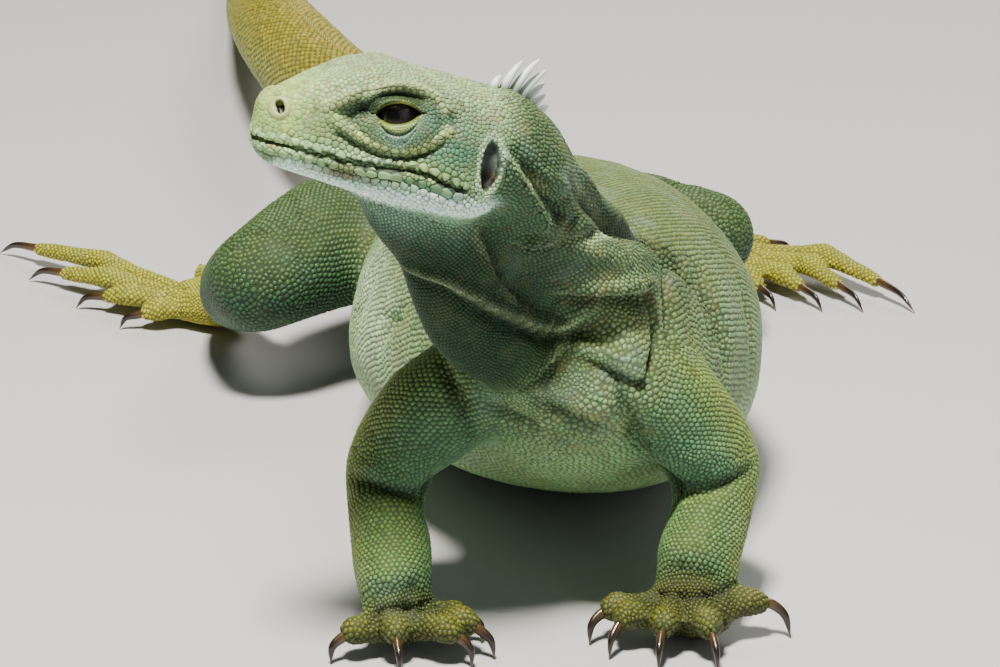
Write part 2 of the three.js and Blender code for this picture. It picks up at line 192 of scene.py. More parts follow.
def without_spines(points, faces):
    """A solid with its thin spines cut off: faces whose far side is close behind them are dropped."""
    tree = tree_of(points, faces)
    starts = points[faces].mean(axis=1)
    inward = -unit(face_normals(points, faces))
    hits = [tree.ray_cast(p, d)[3] for p, d in zip(
        ((starts + inward * 0.01) * MM).tolist(), inward.tolist())]
    depth = np.array([9.0 if h is None else h / MM for h in hits])
    body = bmesh.new()
    corners = [body.verts.new(p) for p in points]
    for face in faces[depth > SPINE_THICKNESS].tolist():
        body.faces.new([corners[k] for k in face])
    bmesh.ops.delete(body, geom=[v for v in body.verts if not v.link_faces], context="VERTS")
    bmesh.ops.holes_fill(body, edges=[e for e in body.edges if e.is_boundary], sides=0)
    bmesh.ops.triangulate(body, faces=body.faces)
    body.verts.index_update()
    kept = np.array([v.co[:] for v in body.verts])
    triangles = np.array([[v.index for v in f.verts] for f in body.faces])
    body.free()
    return kept, triangles


def stacked(solids, swell):
    """Several solids in one pair of arrays, swollen, with each face's solid number."""
    points, faces, owners = [], [], []
    for number, (p, f) in enumerate(solids):
        faces.append(f + sum(len(q) for q in points))
        points.append(p + point_normals(p, f) * swell)
        owners.append(np.full(len(f), number))
    return np.concatenate(points), np.concatenate(faces), np.concatenate(owners)


def edges_of(mesh):
    """The two point numbers of each edge."""
    edges = np.empty(len(mesh.edges) * 2, dtype=np.int64)
    mesh.edges.foreach_get("vertices", edges)
    return edges.reshape(-1, 2)


def applied(thing):
    """The mesh of an object with its modifiers applied. The object itself is taken away."""
    shape = bpy.data.meshes.new_from_object(thing.evaluated_get(bpy.context.evaluated_depsgraph_get()))
    bpy.data.objects.remove(thing)
    return shape


def melted(points, faces, voxel):
    """One closed mesh of even quads round all the solids."""
    thing = put_mesh("melt", points, faces)
    melt = thing.modifiers.new("melt", "REMESH")
    melt.mode = "VOXEL"
    melt.voxel_size = voxel * MM
    return applied(thing)


def evened(values, edges, rounds, share):
    """Moves each point's values towards the mean of its neighbours' by a share, several rounds."""
    count = np.bincount(edges.ravel(), minlength=len(values))[:, None]
    for _ in range(rounds):
        total = np.stack([
            np.bincount(edges[:, 0], values[edges[:, 1], k], len(values))
            + np.bincount(edges[:, 1], values[edges[:, 0], k], len(values))
            for k in range(values.shape[1])
        ], axis=1)
        values = values + share * (total / count - values)
    return values


def evened_whole(points, edges, rounds, share):
    """As evened, with the slow part of what was lost given back, so that thin forms keep their size."""
    first = evened(points, edges, rounds, share)
    return first + evened(points - first, edges, rounds, share)


def thinned(mesh, chosen, share):
    """A copy of the mesh with triangles merged where chosen, down to a share of their whole number."""
    thing = bpy.data.objects.new("thinned", mesh)
    bpy.context.collection.objects.link(thing)
    thing.vertex_groups.new(name="plain").add(np.flatnonzero(chosen).tolist(), 1.0, "REPLACE")
    fewer = thing.modifiers.new("fewer", "DECIMATE")
    fewer.ratio = share
    fewer.vertex_group = "plain"
    return applied(thing)


def divided(mesh, chosen):
    """Cuts every edge inside the chosen region (a flag for each point) in two."""
    body = bmesh.new()
    body.from_mesh(mesh)
    body.verts.ensure_lookup_table()
    for v, flag in zip(body.verts, chosen.tolist()):
        v.tag = flag
    inside = [e for e in body.edges if e.verts[0].tag and e.verts[1].tag]
    bmesh.ops.subdivide_edges(body, edges=inside, cuts=1, use_grid_fill=True, smooth=0.0)
    bmesh.ops.triangulate(body, faces=[f for f in body.faces if len(f.verts) > 4])
    body.to_mesh(mesh)
    body.free()
    mesh.update()


solids = [solid_of(n) for n in FLESH]
for crested in ("neck", "trunk"):
    solids[FLESH.index(crested)] = without_spines(*solid_of(crested))
solids += [solid_of("eye_left"), solid_of("eye_right")]
flesh_points, flesh_faces, flesh_owners = stacked(solids, SWELL)
flesh_tree = tree_of(flesh_points, flesh_faces)
skin_mesh = melted(flesh_points, flesh_faces, VOXEL)


def nearest_on(tree, places):
    """The nearest places (mm) on a surface, and the numbers of the faces that they lie on."""
    found = [tree.find_nearest(p) for p in (places * MM).tolist()]
    return np.array([f[0][:] for f in found]) / MM, np.array([f[2] for f in found])


def owner_of(points):
    """For each point (mm) the number of the flesh node that it lies nearest to."""
    return flesh_owners[nearest_on(flesh_tree, points)[1]]


def named(start):
    """Numbers of the flesh nodes whose names start so."""
    return [k for k, n in enumerate(FLESH) if n.startswith(start)] + (
        [len(FLESH), len(FLESH) + 1] if start == "head" else [])


def points_of(mesh):
    """Points (mm) of a mesh."""
    return read_mesh(mesh)[0]


def set_points(mesh, points):
    """Gives a mesh new places for its points (mm)."""
    mesh.vertices.foreach_set("co", (points * MM).ravel())
    mesh.update()


# Fine parts are divided further, then drawn back onto the solids, so that digits keep their form.
PLAIN = ("trunk", "tail", "upper", "forearm", "thigh", "shin")
points = points_of(skin_mesh)
points = evened_whole(points, edges_of(skin_mesh), 14, 0.5)
set_points(skin_mesh, points)
plain = np.isin(owner_of(points), sum((named(s) for s in PLAIN), []))
skin_mesh = thinned(skin_mesh, plain, THINNED)
SNOUT_WAY = np.array([-0.9, -0.33, 0.29])  # roughly the way that the head points
FINE = [("hand", "foot", "head"), ("head",)]
for level, starts in enumerate(FINE):
    points = points_of(skin_mesh)
    owners = owner_of(points)
    chosen = np.isin(owners, sum((named(s) for s in starts), []))
    if level == 1:
        ahead = (points - middle("head")) @ SNOUT_WAY
        chosen &= (ahead > -20) & (points[:, 2] > middle("head")[2] - 14 + 0.3 * ahead)
    divided(skin_mesh, chosen)
points = points_of(skin_mesh)
edges = edges_of(skin_mesh)
owners = owner_of(points)
PAWS = named("hand") + named("foot")
paw = evened(np.isin(owners, PAWS).astype(float)[:, None], edges, 3, 0.5)
points = points + paw * (nearest_on(flesh_tree, points)[0] - points)
points = evened_whole(points, edges, 20, 0.5 - 0.25 * paw)
faces = read_mesh(skin_mesh)[1]
points = points - point_normals(points, faces) * (SWELL + COAT)
set_points(skin_mesh, points)

# ----------------------------------------------------------------- the head
# The head is modelled in its own directions: forward to the snout, out to its left, and up to the
# crown, from a point between the ears. Every form is made on both sides alike.

HEAD_YAW = np.radians(70.0)
HEAD_PITCH = np.radians(16.7)
EYE_FORWARD = 20.3
EYE_UP = 5.4
forward = np.array([
    -np.sin(HEAD_YAW) * np.cos(HEAD_PITCH), -np.cos(HEAD_YAW) * np.cos(HEAD_PITCH), np.sin(HEAD_PITCH)])
leftward = np.array([np.cos(HEAD_YAW), -np.sin(HEAD_YAW), 0.0])
crown = np.cross(forward, leftward)
HEAD_AXES = np.stack([forward, leftward, crown])
eyes_middle = (middle("eye_left") + middle("eye_right")) / 2
head_origin = eyes_middle - EYE_FORWARD * forward - EYE_UP * crown


def to_head(points):
    """Places in the head's own directions: forward, out to the left, up (mm)."""
    return (points - head_origin) @ HEAD_AXES.T


def from_head(places):
    """The other way: places in the head's own directions, back in the frame (mm)."""
    return np.asarray(places, dtype=float) @ HEAD_AXES + head_origin


def curve_through(knots, step):
    """A smooth curve through knots (Catmull-Rom), as points about a step apart."""
    knots = np.asarray(knots, dtype=float)
    ends = np.concatenate([2 * knots[:1] - knots[1:2], knots, 2 * knots[-1:] - knots[-2:-1]])
    pieces = []
    for a, b, c, d in zip(ends[:-3], ends[1:-2], ends[2:-1], ends[3:]):
        count = max(int(np.ceil(np.linalg.norm(c[:3] - b[:3]) / step)), 1)
        t = (np.arange(count) / count)[:, None]
        pieces.append(b + t * ((c - a) / 2 + t * (
            3 * (c - b) - (c - a) - (d - b) / 2 + t * ((c - a) / 2 + (d - b) / 2 - 2 * (c - b)))))
    return np.concatenate([*pieces, knots[-1:]])


def lengths_along(path):
    """How far along a path each of its points lies: the sum of the steps before it."""
    return np.concatenate([[0], np.cumsum(np.linalg.norm(np.diff(path, axis=0), axis=1))])


def places_at(path, length, at):
    """Places on a path, evenly between its points, at given distances along it."""
    return np.stack([np.interp(at, length, path[:, k]) for k in range(3)], axis=1)


def off_line(points, line):
    """Distance of each point from a chain of line pieces, and how far along the chain it is (0 to 1)."""
    best = np.full(len(points), np.inf)
    along = np.zeros(len(points))
    for k, (a, b) in enumerate(zip(line[:-1], line[1:])):
        run = b - a
        t = np.clip((points - a) @ run / max(run @ run, 1e-9), 0, 1)
        far = np.linalg.norm(points - a - t[:, None] * run, axis=1)
        nearer = far < best
        best = np.where(nearer, far, best)
        along = np.where(nearer, (k + t) / (len(line) - 1), along)
    return best, along


def bell(x):
    """A soft bump: one at 0, falling to nothing past about 2."""
    return np.exp(-np.square(x))


def step_up(x, low, high):
    """Smooth step: 0 below low, 1 above high."""
    t = np.clip((x - low) / (high - low), 0, 1)
    return t * t * (3 - 2 * t)


def under_eye(back, front, drop):
    """An arc under the eye, from back to front of its middle, each a share of its half length.

    Along t it runs forward evenly. Its height is a square plus a cube of t, steeper at the back, and
    its distance out is a square of t. Drop lowers the whole arc.
    """
    t = np.linspace(back, front, 8)
    ahead = 22.5 + 12 * t
    out = 13.3 - 3.6 * t - 1.9 * t ** 2
    up = 4.7 * t ** 2 - 1.8 * t ** 3 - drop
    return np.stack([ahead, out, up], axis=1)


# Mounds and hollows: forward, out, up; reach in each of those; height outward.
HEAD_FORMS = [
    ((6.0, 18.0, -7.5), (9.0, 7.0, 4.2), 0.8),  # jaw muscle
    ((10.0, 15.5, 0.5), (6.0, 6.0, 4.5), 0.5),  # cheek
    ((28.4, 10.6, 4.6), (4.0, 5.0, 2.3), -2.3),  # hollow before the eye
    ((8.5, 13.0, 9.0), (4.5, 5.0, 3.0), -0.8),  # temple
    ((30.0, 0.0, 14.5), (5.0, 4.0, 5.0), -0.7),  # dip between the brows
    ((31.0, 8.0, 12.0), (6.0, 4.0, 4.0), 1.2),  # front of the brow
    ((38.5, 4.5, 8.5), (5.5, 3.0, 3.5), 0.7),  # edge of the snout over the nostril
    ((46.8, 0.0, 2.0), (4.5, 5.0, 3.6), 1.3),  # blunt front of the snout
    ((36.0, 0.0, -12.0), (9.0, 3.5, 4.0), -0.5),  # groove under the chin
]
# Ridges and creases: places along them; half width; height outward.
HEAD_LINES = [
    ([(36, 8.0, 5.5), (32.2, 10.0, 8.6), (29, 10.6, 10.8), (25.5, 11.0, 12.2), (21.5, 11.4, 13.4),
      (17.5, 11.5, 13.7), (14, 12.0, 12.9), (11.5, 13.0, 10.8)], 1.5, 2.1),  # brow
    (under_eye(-1.0, 1.0, 0.0), 1.25, 1.6),  # crescent under the eye
    (under_eye(-0.92, 0.8, 1.9), 0.9, -1.5),  # crease below it
    ([(12.5, 12.6, 11.6), (9.8, 13.6, 9.0), (9.0, 14.2, 6.0)], 0.9, -0.8),  # crease behind the brow
    ([(-1.8, 15.0, 5.4), (-2.3, 16.2, 1.2), (-2.4, 18.2, -3.8)], 1.0, 0.8),  # rim behind the ear
    ([(2.3, 14.4, 5.0), (2.2, 15.6, 1.0), (1.8, 17.8, -3.6)], 1.0, 0.5),  # rim before the ear
]
MOUTH_LINE = [(47.5, 0, -6), (46.5, 3.5, -5.5), (43, 6, -5), (39, 8.5, -5), (34, 10, -5), (28, 12, -5),
              (20, 14, -4), (15, 15.5, -3.5), (11, 17.5, -4), (8, 19, -4.5), (4, 19.5, -5)]
LIP_ROLL = 1.0  # distance of the soft lips from the mouth line
EAR_AT = np.array([0.0, 15.8, 0.6])
EAR_HALF = np.array([2.35, 5.0])  # half width and half height of the drum

NOSTRIL_AT = np.array([44.8, 4.6, 2.3])
EYE_BALL = 5.7
eye_centre = np.array([EYE_FORWARD - 0.6, 8.0, EYE_UP + 0.7])
gaze = unit([0.38, 0.88, 0.29])  # the way that the middle of the lids faces
lid_front = unit(np.array([0.98, 0.0, -0.16]) - gaze * (np.array([0.98, 0.0, -0.16]) @ gaze))
lid_up = np.cross(lid_front, gaze)
lid_up = lid_up * np.sign(lid_up[2])
LID_LENGTH = 4.9  # half length of the open eye
LID_ABOVE = 2.35
LID_BELOW = 2.75


def mirrored(places):
    """Head places with the right side folded onto the left."""
    return np.stack([places[:, 0], np.abs(places[:, 1]), places[:, 2]], axis=1)


def eye_frame(places):
    """Folded head places as distance forward, up and outward from the eye's centre, square to its gaze."""
    off = places - eye_centre
    return off @ lid_front, off @ lid_up, off @ gaze


def lid_arc(t, least):
    """Height of an open lid along the eye, t from -1 at the back corner to 1 at the blunter front one."""
    return np.clip(1 - np.abs(t) ** np.where(t > 0, 2.7, 1.9), least, None)


def lid_gap(a, b):
    """How far outside the open eye a place is: 0 at its middle, 1 on the edge of the lids.

    The opening is two arcs that meet in a point at the front and the back.
    """
    arc = lid_arc(a / LID_LENGTH, 0.02)
    tall = np.where(b > 0, LID_ABOVE, LID_BELOW) * arc ** 0.8
    return np.sqrt(np.square(np.clip(np.abs(a) - LID_LENGTH, 0, None)) + np.square(b / tall))


def on_skin(tree, line):
    """A line moved onto the nearest skin."""
    return nearest_on(tree, line)[0]


def moulded_head(points, faces):
    """The head's mounds, ridges and creases, pushed out along the skin."""
    places = mirrored(to_head(points))
    near = (places[:, 0] > -12) & (np.linalg.norm(places - [20, 8, 0], axis=1) < 45)
    tree = tree_of(points, faces)
    lift = np.zeros(len(points))

    def line_on_head(knots):
        """A smooth line through knots, laid on the skin, in folded head places."""
        return mirrored(to_head(on_skin(tree, from_head(curve_through(knots, 0.8)))))

    for at, reach, height in HEAD_FORMS:
        q = np.linalg.norm((places - at) / reach, axis=1)
        lift += height * bell(q)
    for line, width, height in HEAD_LINES:
        far, along = off_line(places, line_on_head(line))
        lift += height * bell(far / width) * np.sin(np.pi * np.clip(along, 0.06, 0.94)) ** 0.4
    far, along = off_line(places, line_on_head(MOUTH_LINE))
    fade = 1 - step_up(along, 0.93, 1.0)
    lift += fade * (0.45 * bell((far - LIP_ROLL) / 0.7) - 1.1 * bell(far / 0.5))
    return points + (lift * near)[:, None] * point_normals(points, faces)


def set_eyes(points):
    """Clears the skin round each eye: a fitted hollow, then lids that ride on the eyeball."""
    places = to_head(points)
    side = np.where(places[:, 1] < 0, -1.0, 1.0)
    folded = mirrored(places)
    a, b, out = eye_frame(folded)
    radius = np.hypot(a / 1.12, b)
    ring = (radius > 7.0) & (radius < 10.0) & (out > -2)
    terms = np.stack([np.ones_like(a), a, b, a * a, a * b, b * b], axis=1)
    fit = np.linalg.lstsq(terms[ring], out[ring], rcond=None)[0]
    floor_height = terms @ fit - 1.5 * bell(radius / 5.5)
    floor_height -= 2.3 * bell(np.hypot((a - 7.4) / 2.7, (b - 0.7) / 1.6))  # hollow before the eye
    brow = bell((b - 5.9 + 0.03 * np.square(a)) / 1.2) * bell(a / 7.5)
    floor_height += (6.5 - floor_height) * brow  # the brow hangs over the lid
    gap = lid_gap(a, b)
    pleats = 0.34 * np.cos(2 * np.pi * (gap - 1.35) / 0.62) * bell((gap - 1.75) / 0.65)
    crease = 1.5 * bell((b - 4.1 + 0.05 * np.square(a)) / 0.75) * bell((a - 0.5) / 6)
    ball = np.sqrt(np.clip(EYE_BALL ** 2 - a * a - b * b, 0, None))
    lid = ball + 0.55
    soft = 0.9
    peak = np.maximum(lid, floor_height) + soft / 4 * np.clip(
        1 - np.abs(lid - floor_height) / soft, 0, None) ** 2
    peak += np.where(b < 0.5, pleats, 0.4 * pleats) - crease
    inside = 1 - step_up(gap, 0.86, 1.02)
    target = peak + inside * (lid - 2.3 - peak)
    share = (1 - step_up(radius, 7.2, 9.6)) * (out > -2)
    moved = folded + (share * (target - out))[:, None] * gaze
    moved[:, 1] *= side
    return np.where((share > 0)[:, None], from_head(moved), points)


def eye_zone(points, reach):
    """Flags points in an oval round either eye."""
    a, b, out = eye_frame(mirrored(to_head(points)))
    return (np.hypot(a / 1.12, b) < reach) & (out > -3)


divided(skin_mesh, eye_zone(points_of(skin_mesh), 7.0))
points, faces = read_mesh(skin_mesh)
edges = edges_of(skin_mesh)
points = moulded_head(points, faces)
points = evened(points, edges, 2, np.where(eye_zone(points, 9.0), 0.4, 0.15)[:, None])
points = set_eyes(points)
points = evened(points, edges, 1, np.where(eye_zone(points, 9.0), 0.3, 0.0)[:, None])


def sunk_openings(points, faces):
    """A shallow cup for each ear drum, and a pit for each nostril."""
    folded = mirrored(to_head(points))
    nostril = np.linalg.norm(folded - NOSTRIL_AT, axis=1)
    points = points - (1.7 * (1 - step_up(nostril, 1.0, 2.0)))[:, None] * point_normals(points, faces)
    off = folded - EAR_AT
    tall = np.hypot(off[:, 1], off[:, 2])
    q = np.hypot(off[:, 0] / (EAR_HALF[0] + 0.3), tall / (EAR_HALF[1] + 0.3))
    depth = 2.4 * (1 - step_up(q, 0.75, 1.15)) * (np.abs(off[:, 1]) < 5)
    return points - depth[:, None] * point_normals(points, faces)


points = sunk_openings(points, faces)
set_points(skin_mesh, points)

# ------------------------------------------------------- folds of the body
# The loose skin of the throat, neck and flanks hangs in folds. Places here are from a point on the
# floor under the neck.

base = head_origin - np.array([-8.0, -9.0, 121.0])

# Digits from the innermost: root, knuckle, end.
DIGITS = {
    "hand_left": [[(33, 1, 7.5), (26.5, 1, 8), (23, -0.5, 6.6)],
                  [(34, -3, 7.5), (28.6, -4.6, 8.5), (26.6, -7, 6.6)],
                  [(38, -3.5, 8), (36.8, -8.6, 8.6), (36.1, -12, 6.6)],
                  [(44, -3.5, 8), (46.6, -9.2, 8.8), (47.6, -13.2, 6.7)],
                  [(49, 0, 7.5), (56, 1.4, 9), (61, 2, 8)]],
    "hand_right": [[(-17, -3, 6.6), (-10.5, -1.6, 7.2), (-7, -1.2, 6)],
                   [(-15, -6, 7), (-8.5, -7.6, 8.6), (-4.8, -8.8, 6.7)],
                   [(-18, -8.5, 7.4), (-12.6, -12, 8.6), (-8.8, -13.2, 6.4)],
                   [(-23, -8, 7.4), (-23.4, -12, 8.3), (-22.9, -15.2, 6.4)],
                   [(-27, -8, 6.6), (-32.4, -10.2, 7.2), (-35.2, -11.2, 5.8)]],
    "foot_left": [[(62, 228, 5.6), (68, 219.5, 6), (71, 214, 4.6)],
                  [(67, 229.5, 5.6), (77, 221, 6.4), (82, 214, 4.8)],
                  [(70, 232.5, 5.8), (84.5, 226.5, 7), (92.5, 215, 4.9)],
                  [(71, 236, 6), (89, 232.5, 7.8), (103.5, 217, 5.2)],
                  [(58, 238, 6), (67.5, 246.5, 6.2), (75, 250, 4.6)]],
    "foot_right": [[(-83, 196.5, 5.6), (-91.5, 194.6, 6), (-96, 194.4, 4.6)],
                   [(-87, 200, 5.6), (-99.5, 205, 6.4), (-107, 207.6, 4.8)],
                   [(-89, 204, 5.8), (-106, 216, 6.8), (-120, 225.4, 5)],
                   [(-88, 208, 6), (-108, 228, 7.2), (-129, 245, 5)],
                   [(-76, 204, 6), (-80, 219, 6.4), (-81.6, 228, 4.6)]],
}

# Mounds: place, reach, height outward.
BODY_FORMS = [
    ((28, 4, 71), (7, 6, 7), 2.0),  # slack skin before the left shoulder
    ((22, 0, 89), (11, 6, 4), 1.2),  # shelf of the neck
    ((4, -12, 101), (8, 6, 7), 1.2),  # pouch behind the jaw
    ((40, 22, 50), (10, 9, 10), 1.0),  # muscle of the left upper arm
    ((-20, 15, 52), (9, 9, 9), 0.8),  # and of the right
    ((46, 60, 62), (9, 16, 9), 1.5),  # flank bulges between its folds
    ((54, 84, 48), (9, 12, 10), 1.2),
    ((13, 2, 40), (10, 8, 8), 0.8),  # breast
    ((46, 11, 39.5), (11, 7, 5), 1.6),  # upper arms over the elbows
    ((-23, 9, 40), (10, 7, 5), 1.3),
    ((36.5, 17, 29), (6, 8, 7), -4.0),  # inside of the left forearm under the elbow
    ((-14.5, 13, 29), (6, 8, 7), -3.0),  # and of the right
]
# Folds: places along the ridge; its half width and height; the crease's place from the ridge; and
# the crease's half width and depth.
FOLDS = [
    ([(1, -5, 64), (6, -5, 66), (15, 1, 73)], 1.3, 1.8, (0, 0.5, -3), 1.6, 3.4),  # dewlap's free edge
    ([(-5, -17, 104), (-2, -13, 93), (4, -7, 84), (11, 0, 77)], 1.2, 1.5, (2, 1, 0), 1.3, 1.6),
    ([(-20, -17, 97), (-12, -19, 94), (-2, -13, 86), (8, -3, 78), (14, 2, 76), (22, 2, 81)],
     1.5, 2.6, (1.5, 1, -3), 1.9, 2.6),  # fold of the throat
    ([(13, -2, 86), (20, 0, 86), (28, 5, 84), (34, 13, 82)], 1.5, 3.4, (0, 1, -4), 2.0, 3.6),  # shelf
    ([(18, 1, 71), (25, 1, 68), (31, 3, 64)], 1.3, 2.6, (0, 1, -3), 1.6, 2.6),  # flap below the shelf
    ([(1, -22, 123), (5, -19, 116), (11, -10, 104), (15, -8, 103)],
     1.25, 3.0, (2.5, 2, 0), 1.8, 3.6),  # fold from the ear down the neck
    ([(4, -11, 101), (10, -9, 99)], 1.2, 3.0, (0, 1, -2), 1.4, 3.0),
]
# Single ridges and creases: places along them; half width; height outward.
BODY_LINES = [
    ([(-9, -7, 67), (-3, -5, 61), (1, -3, 60)], 1.5, -2.2),
    ([(35, 21, 31), (41, 12, 32), (48, 10, 33), (56, 16, 35)], 1.7, -2.8),  # elbows
    ([(-31, 14, 34), (-25, 8, 33), (-18, 9, 32), (-13, 14, 32)], 1.7, -2.2),
    ([(31, 4, 62), (35, 10, 70), (34, 13, 79), (33, 16, 84)], 1.5, -3.2),
    ([(26, 0, 64), (28, 1, 56), (31, 9, 45), (35, 18, 35)], 1.8, -3.0),
    ([(-13, 9, 64), (-9, 3, 58), (-7, 5, 48)], 1.7, -2.6),
    ([(5, -14, 118), (10, -10, 114), (14, -6, 109)], 1.3, 1.8),
    ([(13, -3, 113), (21, 6, 102)], 1.4, 1.6),
    ([(16, -8, 111), (26, 7, 98), (34, 25, 89), (43, 38, 74), (49, 36, 60)], 2.5, -4.4),  # neck into flank
    ([(37, 25, 78), (38, 13, 66)], 1.9, -2.8),
    ([(44, 45, 75), (49, 42, 64), (52, 42, 51)], 2.4, -3.2),
    ([(50, 70, 70), (58, 67, 55), (60, 64, 40)], 2.6, -1.6),
    ([(46, 100, 68), (54, 99, 56), (57, 97, 44)], 3.0, -1.4),
    ([(-22, 58, 60), (-28, 63, 48)], 1.7, -2.0),
    ([(-29, 70, 52), (-23, 57, 55)], 1.6, -1.4),
    ([(-24, 82, 64), (-31, 84, 52), (-35, 84, 40)], 2.8, -1.6),
    ([(-22, 108, 62), (-31, 108, 50), (-35, 106, 38)], 3.0, -1.4),
    ([(-13, 2, 96), (-9, 10, 90), (3, 26, 84)], 2.0, -1.6),  # far side of the neck
    ([(12, -2, 100), (20, 5, 96), (29, 17, 86)], 1.6, -2.0),  # neck above the shelf
    ([(13, -4, 98), (25, 7, 90)], 1.4, 1.6),
    ([(6, -3, 62), (12, -1, 57), (25, 4, 50)], 2.0, -1.8),  # slack of the breast
    ([(-4, 2, 58), (12, 1, 48)], 2.0, -1.4),
    ([(9, -3, 60), (10, 0, 44)], 1.8, 1.3),
    ([(-2, 8, 112), (-4, 0, 96)], 1.5, -1.4),
    ([(36, -1, 12), (44, -3, 12), (52, 0, 13), (53, 6, 13)], 0.9, -1.1),  # wrists
    ([(-27, -10, 12), (-20, -9, 12), (-13, -5, 11)], 0.9, -1.1),
    ([(45, 14, 27), (40, 20, 30), (38, 27, 34)], 1.5, -0.9),  # inside of the elbows
    ([(-18, 8, 27), (-15, 22, 34)], 1.5, -0.9),
    ([(41, 171, 42), (46, 178, 46), (47, 187, 44)], 2.0, -1.2),  # knees
    ([(-48, 137, 44), (-52, 158, 44)], 2.0, -1.2),
]
for line, width, height, shift, crease_width, depth in FOLDS:
    BODY_LINES.append((line, width, height))
    BODY_LINES.append((np.array(line) + shift, crease_width, -depth))


def from_base(places):
    """Places from the point under the neck, in the frame (mm)."""
    return np.asarray(places, dtype=float) + base


def near_folds(points, reach):
    """Flags points near any fold line."""
    near = np.zeros(len(points), dtype=bool)
    for line, _, _ in BODY_LINES:
        near |= off_line(points, from_base(line))[0] < reach
    return near


points, faces = read_mesh(skin_mesh)
on_trunk = np.isin(owner_of(points), named("trunk") + named("upper_arm") + named("forearm"))
divided(skin_mesh, on_trunk & near_folds(points, 6.0))
points, faces = read_mesh(skin_mesh)
edges = edges_of(skin_mesh)
body_tree = tree_of(points, faces)
lift = np.zeros(len(points))
for at, reach, height in BODY_FORMS:
    lift += height * bell(np.linalg.norm((points - from_base(at)) / reach, axis=1))
for line, width, height in BODY_LINES:
    far, along = off_line(points, on_skin(body_tree, curve_through(from_base(line), 1.5)))
    lift += height * bell(far / width) * np.sin(np.pi * np.clip(along, 0.05, 0.95)) ** 0.5
for paw_digits in DIGITS.values():
    lines = [from_base(curve_through(digit, 0.8)) for digit in paw_digits]
    far = np.stack([off_line(points, line)[0] for line in lines])
    near_two = np.sort(far, axis=0)[:2]
    between = bell((near_two[1] - near_two[0]) / 1.3) * (near_two[0] > 1.8) * (near_two[0] < 5.5)
    lift -= 1.0 * between
    for digit, line in zip(paw_digits, lines):
        far = off_line(points, line)[0]
        knuckle = np.linalg.norm(points - from_base(digit[1]), axis=1)
        joint = np.linalg.norm(points - from_base((np.array(digit[1]) + np.array(digit[2])) / 2), axis=1)
        lift += (far < 5) * (0.55 * bell(knuckle / 3.0) - 0.3 * bell((joint - 1.2) / 0.9))
points = points + lift[:, None] * point_normals(points, faces)
set_points(skin_mesh, points)
normals = point_normals(points, faces)

# ------------------------------------------------------------------ the coat
# Every scale is a low domed plate of horn. The roots stand in rings round a line through each limb,
# in staggered rows; those of the head are spread at a distance that changes from place to place.

owners = owner_of(points)
face_owner = owners[faces[:, 0]]
skin_tree = tree_of(points, faces)
rng = np.random.default_rng(7)

# Lines through the body, from the head end backwards and down the legs.
TRUNK_LINE = [(13, 4, 60), (14, 13, 59.5), (16, 27, 56), (17, 50, 48), (15.5, 72, 41), (13, 96, 34),
              (8.5, 120, 31), (3, 142, 30.5), (-2, 162, 29.5), (-6.5, 180, 29), (-10, 194, 29.5),
              (-14, 208, 30.5)]
TAIL_LINE = [(-8, 192, 33), (-14, 208, 34), (-22, 227, 35.5), (-31, 247, 36), (-40.5, 270, 36.5),
             (-49.5, 294, 36), (-62, 340, 33), (-71, 388, 27), (-76, 430, 19), (-80, 470, 11.4),
             (-85, 508, 6.7), (-92, 546, 4.9), (-103, 580, 3.2), (-117, 606, 1.9)]
NECK_LINE = [(-7, -8.7, 120.7), (-1.4, -5, 117.6), (3.6, 1, 109.4), (8, 8, 98), (12.5, 16, 86),
             (15.5, 25, 73), (17, 35, 62)]
DEWLAP_LINE = [(-24, -17, 118), (-19, -14, 108), (-13, -11, 101), (-9, -8, 92), (-4, -3, 81),
               (3, 2, 73), (9, 6, 67)]
LIMB_LINES = {
    "arm_left": [(17, 15, 63), (35, 18, 53), (48.5, 25, 34.5), (46.5, 13.5, 22), (43.8, 4, 13.5)],
    "arm_right": [(8, 14, 63), (-12, 16, 52), (-24.5, 21, 35.5), (-24.5, 7, 23), (-23.5, -4.5, 13.5)],
    "leg_left": [(10, 186, 33), (35, 181, 34), (54.5, 177, 33), (54.5, 204, 23.5), (50.5, 230, 12)],
    "leg_right": [(-20, 181, 36), (-42, 162, 37.5), (-60, 143.5, 34), (-67, 165, 23), (-71.5, 187, 13)],
}
PALMS = {
    "hand_left": [(43.8, 5, 10.8), (43, 0, 8), (41.5, -4.8, 6.5)],
    "hand_right": [(-23.5, -3, 10.8), (-21.5, -6, 7.6), (-20.5, -9.2, 6.2)],
    "foot_left": [(51, 232, 9), (60, 235, 7.2), (69, 235, 5.8)],
    "foot_right": [(-70, 191, 9.5), (-77, 198, 7), (-85, 205, 5.8)],
}

